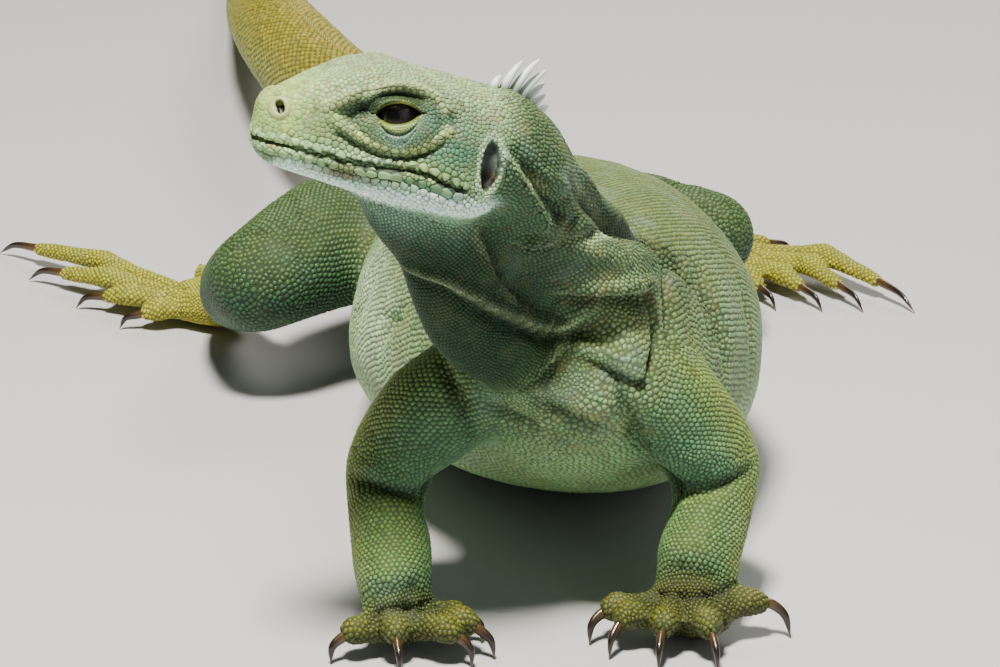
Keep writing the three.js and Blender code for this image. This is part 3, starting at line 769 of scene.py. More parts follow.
# Families of scales: name, line, nodes, ring step, distance round, thickness, keel, greatest reach.
FAMILIES = [
    ("neck", NECK_LINE, ("neck", "head"), 0.95, 1.0, 0.28, 0.0, 40),
    ("dewlap", DEWLAP_LINE, ("dewlap",), 0.8, 0.84, 0.22, 0.0, 30),
    ("trunk", TRUNK_LINE, ("trunk",), 1.15, 1.38, 0.24, 0.0, 70),
    ("tail", TAIL_LINE, ("tail",), 2.0, 1.9, 0.45, 0.8, 30),
]
for limb, line in LIMB_LINES.items():
    kind, side = limb.split("_")
    parts = ("upper_arm", "forearm", "hand") if kind == "arm" else ("thigh", "shin", "foot")
    step, spacing = (0.95, 1.3) if kind == "arm" else (1.05, 1.42)
    FAMILIES.append((limb, line, tuple(f"{p}_{side}" for p in parts[:2]), step, spacing, 0.30, 0.2, 26))
    paw_name = f"{parts[2]}_{side}"
    for k, digit in enumerate(DIGITS[paw_name]):
        FAMILIES.append((f"{paw_name}_{k + 1}", digit, (paw_name,), 0.74, 1.6, 0.25, 0.0, 5.2))
    FAMILIES.append((paw_name, PALMS[paw_name], (paw_name,), 0.8, 0.9, 0.22, 0.0, 12))
RAYS = 72


def stations(line, step):
    """Points an even step apart along a smooth line, the way it runs there, and an up and a side."""
    fine = curve_through(line, 0.4)
    length = lengths_along(fine)
    at = np.arange(step / 2, length[-1], step)
    place = places_at(fine, length, at)
    run = unit(places_at(fine, length, at + 1.5) - places_at(fine, length, at - 1.5))
    hint = np.array([0.0, 0.0, 1.0]) if abs(run[:, 2]).mean() < 0.75 else np.array([0.0, 1.0, 0.0])
    up = unit(hint - (run @ hint)[:, None] * run)
    return place, run, up, np.cross(run, up)


def cast(starts, ways):
    """Where rays (mm) leave the skin: places, face numbers (-1 for none) and distances."""
    hits = [skin_tree.ray_cast(s, w) for s, w in zip((starts * MM).tolist(), ways.tolist())]
    number = np.array([-1 if h[2] is None else h[2] for h in hits])
    place = np.array([(0, 0, 0) if h[0] is None else h[0][:] for h in hits]) / MM
    far = np.array([0 if h[3] is None else h[3] for h in hits]) / MM
    return place, number, far


def rings(line, step, spacing):
    """Roots in staggered rings round a line: starts and ways of the rays that find them."""
    place, run, up, side = stations(line, step)
    turn = np.linspace(0, 2 * np.pi, RAYS, endpoint=False)
    fan = np.cos(turn)[:, None] * up[:, None] + np.sin(turn)[:, None] * side[:, None]
    far = cast(np.repeat(place, RAYS, axis=0), fan.reshape(-1, 3))[2].reshape(len(place), RAYS)
    far = np.where(far <= 0, np.median(far, axis=1, keepdims=True), far)
    far = np.minimum(far, 3 * np.median(far, axis=1, keepdims=True))
    rim = place[:, None] + fan * far[..., None]
    gaps = np.linalg.norm(np.roll(rim, -1, axis=1) - rim, axis=2)
    starts, ways, runs = [], [], []
    for k, gap in enumerate(gaps):
        travelled = np.concatenate([[0], np.cumsum(gap)])
        count = max(int(round(travelled[-1] / spacing)), 5)
        uneven = rng.uniform(-0.12, 0.12, count)
        wanted = (np.arange(count) + 0.25 + 0.5 * (k % 2) + uneven) * travelled[-1] / count
        angle = np.interp(wanted, travelled, np.linspace(0, 2 * np.pi, RAYS + 1))
        ways.append(np.cos(angle)[:, None] * up[k] + np.sin(angle)[:, None] * side[k])
        starts.append(place[k] + run[k] * rng.uniform(-0.2, 0.2, (count, 1)) * step)
        runs.append(np.repeat(run[k:k + 1], count, axis=0))
    return np.concatenate(starts), np.concatenate(ways), np.concatenate(runs)


roots = {key: [] for key in ("at", "face", "run", "family", "pitch", "thick", "keel", "order")}


def add_roots(at, face, run, family, pitch, thick, keel, order):
    """Keeps the roots of one family; a lower order wins where two stand too close."""
    for key, value in (("at", at), ("face", face), ("run", run)):
        roots[key].append(value)
    for key, value in (("family", family), ("pitch", pitch), ("thick", thick), ("keel", keel),
                       ("order", order)):
        roots[key].append(np.broadcast_to(np.asarray(value, dtype=float), len(at)))


for number, (name, line, nodes, step, spacing, thick, keel, reach) in enumerate(FAMILIES):
    starts, ways, runs = rings(from_base(line), step, spacing)
    at, face, far = cast(starts, ways)
    allowed = np.isin(face_owner[face], sum((named(n) for n in nodes), []))
    keep = (face >= 0) & (far < reach) & allowed
    if name == "neck":
        keep &= to_head(at)[:, 0] < -5
    order = 2.0 if "_" in name and name[-1].isdigit() else 3.0
    add_roots(at[keep], face[keep], runs[keep], number, (step + spacing) / 2, thick, keel, order)

# Head scales are spread over the skin's own points: first the rows of the lips, brow and cheek,
# then the rest, each keeping its distance, and drawn to the middle of its own patch.
HEAD_ROWS = [  # line, spacing, thickness, shift up from the line
    (MOUTH_LINE[1:], 2.55, 0.30, 1.35),
    (MOUTH_LINE[1:], 2.75, 0.36, -1.65),
    (MOUTH_LINE[2:], 1.6, 0.24, 3.0),
    (MOUTH_LINE[1:], 2.1, 0.30, -3.75),
    (HEAD_LINES[1][0], 2.1, 0.30, 0.0),
    (HEAD_LINES[0][0], 1.5, 0.26, -0.7),
    (HEAD_LINES[0][0][1:-1], 1.5, 0.24, 0.9),
]
SNOUT_PLATES = [  # place, width
    ((47.9, 0.0, -3.2), 4.4), ((46.4, 4.3, -3.0), 3.7), ((46.9, 0.0, 1.6), 3.4), ((45.6, 2.2, 5.0), 2.7),
    ((43.0, 5.9, -1.2), 2.9), ((42.0, 4.6, 5.4), 2.3), ((41.3, 6.6, 2.0), 2.5), ((47.6, 0.0, -8.4), 3.6),
]
JOWL_LINE = [(40, 5.2, -10.6), (31, 7.8, -11.4), (22, 10.2, -11.2), (16, 13.2, -10.8), (11, 15.8, -10.3),
             (6, 17.6, -9.8), (1, 17.6, -9.4), (-5, 16.8, -9.4), (-10, 15.8, -10.4)]


def head_pitch(places):
    """Distance between head scales: large on snout and jowl, fine at the eye, ear and throat."""
    f, out, up = places.T
    size = 0.98 + 0.95 * step_up(f, 34, 44) + 0.12 * step_up(up, 9, 12)
    jowl = off_line(places, np.array(JOWL_LINE))[0]
    size += 1.4 * (1 - step_up(jowl, 2.4, 4.8)) * (1 - 0.7 * step_up(f, 22, 30))
    size -= 0.2 * step_up(-up, 11.5, 14)
    a, b, away = eye_frame(places)
    eye = np.hypot(a, b)
    size = np.where(away > -2, np.minimum(size, 0.55 + 0.5 * step_up(eye, 5.0, 8.5)), size)
    ear = np.linalg.norm(places - EAR_AT, axis=1)
    size = np.minimum(size, 0.7 + 0.5 * step_up(ear, 5.0, 9.0))
    return np.where(f < 0, np.minimum(size, 1.05 + 0.1 * step_up(f, -8, 0)), size)


folded = mirrored(to_head(points))
on_head = np.isin(owners, named("head")) & (folded[:, 0] > -7.5)
mouth_curve = mirrored(to_head(on_skin(skin_tree, from_head(curve_through(MOUTH_LINE, 0.8)))))
mouth_far, mouth_along = off_line(folded, mouth_curve)
a, b, away = eye_frame(folded)
in_eye = (lid_gap(a, b) < 1.15) & (away > -2)
ear_off = folded - EAR_AT
ear_ring = np.hypot(ear_off[:, 0] / EAR_HALF[0], np.hypot(ear_off[:, 1], ear_off[:, 2]) / EAR_HALF[1])
beside_ear = np.abs(ear_off[:, 1]) < 5
in_ear = (ear_ring < 1.05) & beside_ear
nostril_far = np.linalg.norm(folded - NOSTRIL_AT, axis=1)
open_skin = on_head & ~in_eye & ~in_ear & (nostril_far > 2.0) & ((mouth_far > 0.5) | (mouth_along > 0.97))
candidates = np.flatnonzero(open_skin)

row_roots, row_thick, row_pitch = [], [], []
for line, spacing, thick, shift in HEAD_ROWS:
    for side in (1, -1):
        knots = np.array(line, dtype=float)
        knots[:, 2] += shift
        path = curve_through(knots, 0.1)
        path[:, 1] *= side
        path = on_skin(skin_tree, from_head(path))
        length = lengths_along(path)
        start = 0.5 * spacing if abs(path[0] @ leftward - head_origin @ leftward) < 2 else 0.0
        at = np.arange(start, length[-1], spacing)
        row_roots.append(places_at(path, length, at))
        row_thick.append(np.full(len(at), thick))
        row_pitch.append(np.full(len(at), spacing))
for place, width in SNOUT_PLATES:
    for side in ((1, -1) if place[1] else (1,)):
        row_roots.insert(0, on_skin(skin_tree, from_head([np.multiply(place, (1, side, 1))])))
        row_thick.insert(0, np.array([0.16]))
        row_pitch.insert(0, np.array([width]))
row_roots = np.concatenate(row_roots)
row_thick = np.concatenate(row_thick)
row_pitch = np.concatenate(row_pitch)


def tree_of_points(places):
    """A search tree of places."""
    tree = KDTree(len(places))
    for k, p in enumerate(places.tolist()):
        tree.insert(p, k)
    tree.balance()
    return tree


def spread(places, distance, order, taken, taken_distance):
    """Numbers of places that keep their distance from each other and from those already taken."""
    tree = tree_of_points(places)
    free = np.ones(len(places), dtype=bool)
    for p, d in zip(taken.tolist(), taken_distance.tolist()):
        free[[k for _, k, _ in tree.find_range(p, d)]] = False
    chosen = []
    for k in order.tolist():
        if free[k]:
            chosen.append(k)
            free[[j for _, j, _ in tree.find_range(places[k], distance[k])]] = False
    return np.array(chosen)


clear = (off_line(mirrored(to_head(row_roots)), mouth_curve)[0] > 0.8) | (row_pitch > 3)
row_roots, row_thick, row_pitch = row_roots[clear], row_thick[clear], row_pitch[clear]
keep_row = spread(row_roots, row_pitch * 0.62, np.arange(len(row_roots)), np.zeros((0, 3)), np.zeros(0))
row_roots, row_thick, row_pitch = row_roots[keep_row], row_thick[keep_row], row_pitch[keep_row]
head_points = points[candidates]
size = head_pitch(folded[candidates])
picked = spread(head_points, size * 0.84, rng.permutation(len(candidates)),
                row_roots, row_pitch * 0.46 + 0.42)
loose = head_points[picked]
for _ in range(3):
    nearest_root = tree_of_points(np.concatenate([loose, row_roots]))
    home = np.array([nearest_root.find(p)[1] for p in head_points.tolist()])
    count = np.bincount(home, minlength=len(loose) + len(row_roots))[:len(loose), None]
    total = np.stack([np.bincount(home, head_points[:, k], len(loose) + len(row_roots))
                      for k in range(3)], axis=1)[:len(loose)]
    loose = np.where(count > 0, total / np.maximum(count, 1), loose)
loose_pitch = head_pitch(mirrored(to_head(loose)))
HEAD_FAMILY = len(FAMILIES)
head_at, head_face = nearest_on(skin_tree, np.concatenate([row_roots, loose]))
jowl_far = off_line(mirrored(to_head(loose)), np.array(JOWL_LINE))[0]
loose_thick = (0.20 - 0.12 * step_up(to_head(loose)[:, 0], 32, 40)) * loose_pitch + 0.08 * bell(jowl_far / 4)
add_roots(head_at, head_face, np.repeat(-forward[None], len(head_at), axis=0), HEAD_FAMILY,
          np.concatenate([row_pitch, loose_pitch]), np.concatenate([row_thick, loose_thick]), 0.0, 0.0)
root = {key: np.concatenate(value) for key, value in roots.items()}

# Roots that stand too close to an earlier one are dropped, and bare places are filled.
order = np.lexsort((rng.random(len(root["at"])), root["order"]))
kept = spread(root["at"], root["pitch"] * np.where(root["order"] > 0, 0.62, 0.5), order,
              np.zeros((0, 3)), np.zeros(0))
head_kept = np.flatnonzero(root["order"] == 0)
kept = np.union1d(kept, head_kept)
root = {key: value[kept] for key, value in root.items()}
root_tree = tree_of_points(root["at"])
allowed_point = ~in_eye & ~in_ear & (nostril_far > 2.0) & ~((mouth_far < 0.6) & (mouth_along < 0.97))
open_face = np.flatnonzero(allowed_point[faces].all(axis=1))
area = np.linalg.norm(face_normals(points, faces)[open_face], axis=1) / 2
tried = np.repeat(open_face, np.clip(np.ceil(area / 0.35), 1, 14).astype(int))
weight = rng.dirichlet((1.5, 1.5, 1.5), len(tried))
places = np.sum(points[faces[tried]] * weight[..., None], axis=1)
lookup = [root_tree.find(p) for p in places.tolist()]
home = np.array([h[1] for h in lookup])
bare = np.flatnonzero(np.array([h[2] for h in lookup]) > 0.8 * root["pitch"][home])
filled = bare[spread(places[bare], root["pitch"][home[bare]] * 0.84, rng.permutation(len(bare)),
                     np.zeros((0, 3)), np.zeros(0))]
extra = {key: value[home[filled]] for key, value in root.items()}
extra["at"] = places[filled]
extra["face"] = tried[filled]
root = {key: np.concatenate([root[key], extra[key]]) for key in root}

# ------------------------------------------------------------- skin colours
# The animal is olive and sage above and on the flanks, ochre on the feet and tail, with pale
# blue-white jowls. Painted light and shade are laid over these colours in places, as noted below.
# The same colours are given to the skin and to the scales that stand on it.


def srgb(*codes):
    """Linear colours from hexadecimal ones."""
    rows = np.array([[int(code[k:k + 2], 16) / 255 for k in (0, 2, 4)] for code in codes])
    return np.where(rows < 0.04045, rows / 12.92, ((rows + 0.055) / 1.055) ** 2.4)


REGIONS = [("head",), ("neck",), ("dewlap",), ("trunk",), ("tail",), ("upper_arm", "forearm"),
           ("hand",), ("thigh", "shin"), ("foot",)]
# The dewlap's colours are a deep green darkened as painted shade under the jaw; the thighs' and hands' are
# darkened in part as painted shade.
ABOVE = srgb("9aa87b", "4e5f3a", "153a19", "646e3e", "96832f", "667a40", "48491b", "4a5c32", "a5982f")
BELOW = srgb("60805c", "4b664b", "133c1b", "90ab7a", "a59f43", "547a5a", "4a4a1e", "325038", "b0a034")
BLEND = 30  # rounds over which neighbouring regions run into each other


def blended(colour, other, share):
    """Colours moved towards another by a share for each point."""
    return colour + np.asarray(share)[:, None] * (other - colour)


region_share = np.stack([
    np.isin(owners, sum((named(s) for s in starts), [])).astype(float) for starts in REGIONS], axis=1)
region_share = evened(region_share, edges, BLEND, 0.5)
region_share /= region_share.sum(axis=1, keepdims=True)
upward = step_up(normals[:, 2], -0.35, 0.85)
paint = blended(region_share @ BELOW, region_share @ ABOVE, upward)
head_share = region_share[:, 0]

# Head markings: pale lips and snout, blue-grey cheeks, white jowls, brown smudge on the lower lip;
# painted shade round the eye and in the ear.
f, out, up = folded.T
jowl = off_line(folded, np.array(JOWL_LINE))[0]
jowl_under = off_line(folded, np.array(JOWL_LINE) - [0, 1.5, 6.5])[0]
mouth_up = up - np.interp(f, [k[0] for k in MOUTH_LINE[::-1]], [k[2] for k in MOUTH_LINE[::-1]])
brow_far = off_line(folded, np.array(HEAD_LINES[0][0]))[0]
crescent_far = off_line(folded, np.array(HEAD_LINES[1][0]))[0]
facing_eye = (away > -1).astype(float)
patchy = np.sin(points @ [0.62, 0.31, 0.93]) * np.sin(points @ [-0.45, 0.88, 0.52]) * np.sin(
    points @ [0.97, -0.38, 0.21] + 2.0 * np.sin(points @ [0.3, 0.5, -0.4]))
head_marks_and_painted_shade = [
    (srgb("a6b46a")[0], head_share * step_up(f, 34, 43) * step_up(up, -9, -5)),
    (srgb("8a7950")[0], 0.55 * head_share * step_up(patchy, -0.05, 0.45) * step_up(up, -1, 7)),
    (srgb("4d6b50")[0], 0.5 * head_share * step_up(-patchy, 0.0, 0.5) * step_up(34 - f, 0, 8)),
    (srgb("3a6250")[0], 0.9 * head_share * bell((f - 9) / 11) * bell((up - 4) / 6.5) * (out > 6)),
    (srgb("34544a")[0], 0.7 * facing_eye * bell(np.hypot((a + 8.0) / 3.2, (b - 0.5) / 4))),
    (srgb("8b9c58")[0], 0.5 * head_share * bell((f - 13) / 8) * bell((up + 2.5) / 2) * (out > 6)),
    (srgb("8a8f5c")[0], 0.5 * head_share * bell((f - 33) / 6) * bell((up - 1) / 3.5)),
    (srgb("a3bd8c")[0], 0.8 * head_share * bell((np.abs(mouth_up) - 1.4) / 1.4) * step_up(f, 14, 24)),
    (srgb("acd0c0")[0], 0.78 * bell(jowl_under / 4.8) * step_up(f, -9, 0)),
    (srgb("eafff8")[0], 0.97 * (1 - step_up(jowl, 1.6, 5.0)) * (1 - 0.5 * step_up(-f, 0, 8))),
    (srgb("5c4a22")[0], 0.85 * bell(np.linalg.norm((folded - [29.5, 10.5, -7.6]) / [5.0, 5, 1.7], axis=1))),
    (srgb("b4b868")[0], 0.9 * bell(crescent_far / 1.15)),
    (srgb("b2b47e")[0], 0.7 * bell((brow_far - 0.3) / 1.3)),
    # painted shade in the crease below the crescent
    (srgb("33442c")[0], 0.85 * head_share * bell(off_line(folded, np.array(HEAD_LINES[2][0]))[0] / 1.0)),
    # painted shade in the hollow before the eye
    (srgb("121f17")[0], 0.97 * facing_eye * bell(np.hypot((a - 7.0) / 4.2, (b - 1.0) / 2.4))),
    # painted shadow under the brow, and painted shade in the crease above the upper lid
    (srgb("1b2a1c")[0], 0.9 * facing_eye * bell((b - 3.3 + 0.05 * a * a) / 1.2) * bell((a - 2) / 6)),
    (srgb("202c19")[0], 0.95 * facing_eye * bell((b - 3.9 + 0.045 * a * a) / 1.7) * bell((a - 1) / 7.5)),
    (srgb("8d9638")[0], 0.85 * facing_eye * bell((lid_gap(a, b) - 1.25) / 0.28)),
    # painted shade under the rim of the lower lid
    (srgb("141d12")[0], 0.9 * facing_eye * bell((lid_gap(a, b) - 1.62) / 0.16) * (b < 0)),
    (srgb("9fbfb0")[0], 0.7 * facing_eye * bell((lid_gap(a, b) - 2.25) / 0.45) * (b < 0)),
    # painted shadow of the brow on the upper lid
    (srgb("2c3d26")[0],
     0.85 * facing_eye * (b > 0) * (1 - step_up(b, 3.4, 4.6)) * (1 - step_up(np.abs(a), 4, 6))),
    (srgb("c3d2b0")[0], 0.7 * bell((ear_ring - 1.32) / 0.2) * beside_ear),
    # the ear drum: its own dark brown, deepened to near black as painted shade in the sunk ear cup
    (srgb("170e06")[0], 1.0 * (1 - step_up(ear_ring, 0.96, 1.14)) * beside_ear),
    (srgb("1d180f")[0], 0.95 * (mouth_along < 0.985) * bell(mouth_far / 0.45)),
    (srgb("b04a3a")[0], 0.8 * bell(np.linalg.norm((folded - [44.6, 5.6, -6.2]) / [0.6, 2, 0.5], axis=1))),
]
for colour, share in head_marks_and_painted_shade:
    paint = blended(paint, colour, share)

# Folds get a painted highlight along their ridges, broken by flecks, and painted shade in their creases.
flecked = 0.72 + 0.28 * np.sin(points @ [2.9, 1.7, 2.3]) * np.sin(points @ [-1.3, 2.7, 1.9])
for line, width, height in BODY_LINES:
    if np.mean(line, axis=0)[1] > 50:
        continue
    far, along = off_line(points, on_skin(skin_tree, curve_through(from_base(line), 1.5)))
    ends = np.sin(np.pi * np.clip(along, 0.05, 0.95)) ** 0.5
    if height > 0:
        # painted highlight on the ridge
        paint = blended(paint, srgb("d3e0ac")[0], 0.9 * flecked * ends * bell(far / (0.7 * width)))
    else:
        # painted shade in the crease
        paint = blended(paint, srgb("18231a")[0], 0.72 * ends * bell(far / (0.9 * width)))

# Leg markings: ochre outer edge of the arms, yellow knuckles.
for name in ("arm_left", "arm_right"):
    line = from_base(curve_through(LIMB_LINES[name], 2.0))
    side = 1.0 if name.endswith("left") else -1.0
    near_arm = off_line(points, line)[0] < 22
    outer = step_up(side * normals[:, 0], 0.45, 0.95) * region_share[:, 5] * near_arm
    paint = blended(paint, srgb("a49a3c")[0], 0.35 * outer)
for paw_digits in DIGITS.values():
    for digit in paw_digits:
        knuckle = np.linalg.norm(points - from_base(digit[1]), axis=1)
        paint = blended(paint, srgb("a89c30")[0], 0.75 * bell(knuckle / 2.6) * step_up(normals[:, 2], 0, 0.8))

# Light and shade painted on the body: painted light on the shelves of the neck and shoulder and on the
# flanks; painted shade on the chest and inner arms, in the hollows beside the dewlap and under the fold
# behind the shoulder.
BODY_PAINTED_LIGHT_AND_SHADE = [  # place, reach, colour, share
    # painted shade on the chest and the inner sides of the arms
    ((9, 2, 48), (19, 9, 13), "3e5230", 0.85),
    ((-13, 6, 45), (7, 9, 13), "42603c", 0.6),
    ((33, 7, 45), (6, 9, 12), "42603c", 0.5),
    # painted light on the shelf of the neck, the flap below it and the front of the shoulder
    ((26, 3, 88), (9, 7, 4.5), "a9b682", 0.75),
    ((28, 4, 75), (6, 6, 6), "a9b682", 0.65),
    ((38, 14, 74), (5, 7, 8), "8f9c6c", 0.5),
    # painted shade in the hollows beside the dewlap
    ((10, -3, 91), (7, 6, 6), "26382a", 0.55),
    ((14, 2, 100), (6, 7, 8), "3b4c36", 0.45),
    # painted light on the left flank's bulge
    ((47, 50, 66), (8, 12, 10), "a8b88a", 0.4),
    # painted shadow under the fold behind the shoulder
    ((41, 30, 72), (4, 9, 9), "2f3d29", 0.6),
    # painted light on the right flank
    ((-30, 80, 50), (8, 28, 16), "d2e2bd", 0.85),
]
for at, reach, code, share in BODY_PAINTED_LIGHT_AND_SHADE:
    nearness = bell(np.linalg.norm((points - from_base(at)) / reach, axis=1))
    paint = blended(paint, srgb(code)[0], share * flecked * nearness)

GREENER = np.array([0.91, 1.07, 0.96])  # red, green and blue of the whole, against the colours above
paint = paint * GREENER

# Speckles are strongest on the back, neck, flanks and head, and weaker on the jowls.
speckle = 0.25 + 0.75 * (region_share[:, 1] + region_share[:, 3] + 0.9 * region_share[:, 0])
speckle *= 1 - 0.8 * head_share * bell(jowl / 4.5)


def give_colour(mesh, colour, extra):
    """A colour for each point, with a fourth number beside it."""
    layer = mesh.color_attributes.new("paint", "FLOAT_COLOR", "POINT")
    layer.data.foreach_set("color", np.concatenate([colour, extra[:, None]], axis=1).astype("f4").ravel())


def scaly_material(name, roughness, bump_height, bump_scale):
    """Horn or skin: painted colour, broken by dark and ochre speckles and a fine grain."""
    material = bpy.data.materials.new(name)
    material.use_nodes = True
    tree = material.node_tree
    new, link = tree.nodes.new, tree.links.new
    shader = tree.nodes["Principled BSDF"]
    paint_in = new("ShaderNodeAttribute")
    paint_in.attribute_name = "paint"
    place = new("ShaderNodeTexCoord")

    def noise(scale, detail, rough):
        """Soft noise over the object's own places."""
        node = new("ShaderNodeTexNoise")
        node.inputs["Scale"].default_value = scale
        node.inputs["Detail"].default_value = detail
        node.inputs["Roughness"].default_value = rough
        link(place.outputs["Object"], node.inputs["Vector"])
        return node.outputs["Fac"]

    def ramp(value, low, high):
        """0 at low, 1 at high, straight between them."""
        node = new("ShaderNodeMapRange")
        node.inputs["From Min"].default_value = low
        node.inputs["From Max"].default_value = high
        link(value, node.inputs["Value"])
        return node.outputs["Result"]

    def times(a_value, b_value):
        """The product of two values."""
        node = new("ShaderNodeMath")
        node.operation = "MULTIPLY"
        link(a_value, node.inputs[0])
        if isinstance(b_value, float):
            node.inputs[1].default_value = b_value
        else:
            link(b_value, node.inputs[1])
        return node.outputs["Value"]

    def over(colour, share, top):
        """A colour with a share of another laid over it."""
        node = new("ShaderNodeMix")
        node.data_type = "RGBA"
        link(share, node.inputs["Factor"])
        link(colour, node.inputs["A"])
        node.inputs["B"].default_value = (*top, 1)
        return node.outputs["Result"]

    colour = paint_in.outputs["Color"]
    strength = paint_in.outputs["Alpha"]
    dark = times(ramp(noise(420, 5, 0.62), 0.56, 0.68), strength)
    colour = over(colour, times(dark, 0.55), (0.055, 0.05, 0.028))
    warm = times(ramp(noise(150, 4, 0.6), 0.52, 0.68), strength)
    colour = over(colour, times(warm, 0.35), (0.24, 0.22, 0.08))
    cool = times(ramp(noise(95, 3, 0.55), 0.54, 0.70), strength)
    colour = over(colour, times(cool, 0.30), (0.20, 0.30, 0.25))
    link(colour, shader.inputs["Base Color"])
    shader.inputs["Roughness"].default_value = roughness
    shader.inputs["Specular IOR Level"].default_value = 0.28
    bump = new("ShaderNodeBump")
    bump.inputs["Strength"].default_value = 0.6
    bump.inputs["Distance"].default_value = bump_height * MM
    link(noise(bump_scale, 6, 0.7), bump.inputs["Height"])
    link(bump.outputs["Normal"], shader.inputs["Normal"])
    return material


def finish(thing, material, replaced=()):
    """Gives a piece its material and its place in the frame."""
    thing.data.materials.append(material)
    thing.data.shade_smooth()
    if replaced:
        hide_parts(*replaced)
    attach(thing, "root")


skin = bpy.data.objects.new("skin", skin_mesh)
bpy.context.collection.objects.link(skin)
# The skin between the scales is darkened, partly its own darker tone and partly painted shade in the grooves;
# lighter on the face and snout, not in the eyes and ears.
snout_share = head_share * step_up(folded[:, 0], -2, 12) * step_up(folded[:, 2], -6, 2)
snout_share += head_share * step_up(folded[:, 0], 28, 42)
groove_shade = np.where(in_ear | in_eye, 1.0, 0.40 - 0.15 * head_share + 0.3 * snout_share)[:, None]
give_colour(skin_mesh, paint * groove_shade, speckle)
finish(skin, scaly_material("skin between the scales", 0.62, 0.15, 1800), FLESH)

# ----------------------------------------------------------- plates of the coat
# Each plate fills its cell: in a given direction it reaches half way to whichever neighbour stops it
# first. It has a rim sunk in the skin, a shoulder and a crown, and its back edge is raised.

NEIGHBOURS = 11
GROOVE = 0.94  # share of the cell that a plate fills
PIECE_LIMIT = 185000  # triangles in one coat piece
MAP_PATCH = 0.0015  # reach of one plate on the OFBake map

# Each corner's share is the area of the triangle between the root and the two other corners.
root_corners = faces[root["face"].astype(int)]
to_corner = points[root_corners] - root["at"][:, None]
sub = np.linalg.norm(np.cross(to_corner[:, [1, 2, 0]], to_corner[:, [2, 0, 1]]), axis=2)
share = (sub / np.maximum(sub.sum(axis=1, keepdims=True), 1e-9))[..., None]
root_normal = unit(np.sum(normals[root_corners] * share, axis=1))
root_paint = np.sum(paint[root_corners] * share, axis=1)
root_speckle = np.sum(speckle[root_corners] * share[..., 0], axis=1)
root_run = unit(root["run"] - np.sum(root["run"] * root_normal, axis=1, keepdims=True) * root_normal)
root_across = np.cross(root_normal, root_run)
root_tree = tree_of_points(root["at"])
near = np.array([
    [k for _, k, _ in root_tree.find_n(p, NEIGHBOURS)][1:] for p in root["at"].tolist()])
gap = root["at"][near] - root["at"][:, None]
gap_run = np.einsum("nkc,nc->nk", gap, root_run)
gap_across = np.einsum("nkc,nc->nk", gap, root_across)


def reach_in(which, angles):
    """Distance to the cell's edge: the least of s d*d / d.u over neighbours at offset d, for way u.

    The share s of the way that falls to a plate is its own width over the sum of both widths.
    """
    own = root["pitch"][which][:, None]
    part = (own / (own + root["pitch"][near[which]]))[:, :, None]
    x, y = gap_run[which][:, :, None], gap_across[which][:, :, None]
    facing = x * np.cos(angles) + y * np.sin(angles)
    far = np.where(facing > 1e-6, part * (x * x + y * y) / np.maximum(facing, 1e-6), np.inf)
    return np.minimum(far.min(axis=1), np.where(own > 2, 0.9, 0.74) * own)


def unwrapped(which):
    """A place for each root on the unrolled body: along its family's line, and round it."""
    place = np.zeros((len(which), 2))
    families = np.unique(root["family"][which])
    for row, family in enumerate(families):
        mine = root["family"][which] == family
        at = root["at"][which][mine]
        if family == HEAD_FAMILY:
            local = to_head(at)
            along = (local[:, 0] + 10) / 60
            angle = np.arctan2(local[:, 1], local[:, 2] + 2)
        else:
            centre, run, up, side = stations(from_base(FAMILIES[int(family)][1]), 2.0)
            tree = tree_of_points(centre)
            number = np.array([tree.find(p)[1] for p in at.tolist()])
            off = at - centre[number]
            ahead = np.sum(off * run[number], axis=1) / 2.0
            along = (number + 0.5 + ahead) / len(centre)
            angle = np.arctan2(np.sum(off * side[number], axis=1), np.sum(off * up[number], axis=1))
        place[mine, 0] = 0.01 + 0.98 * np.clip(along, 0, 1)
        place[mine, 1] = (row + 0.02 + 0.96 * (angle / (2 * np.pi) + 0.5)) / len(families)
    return place


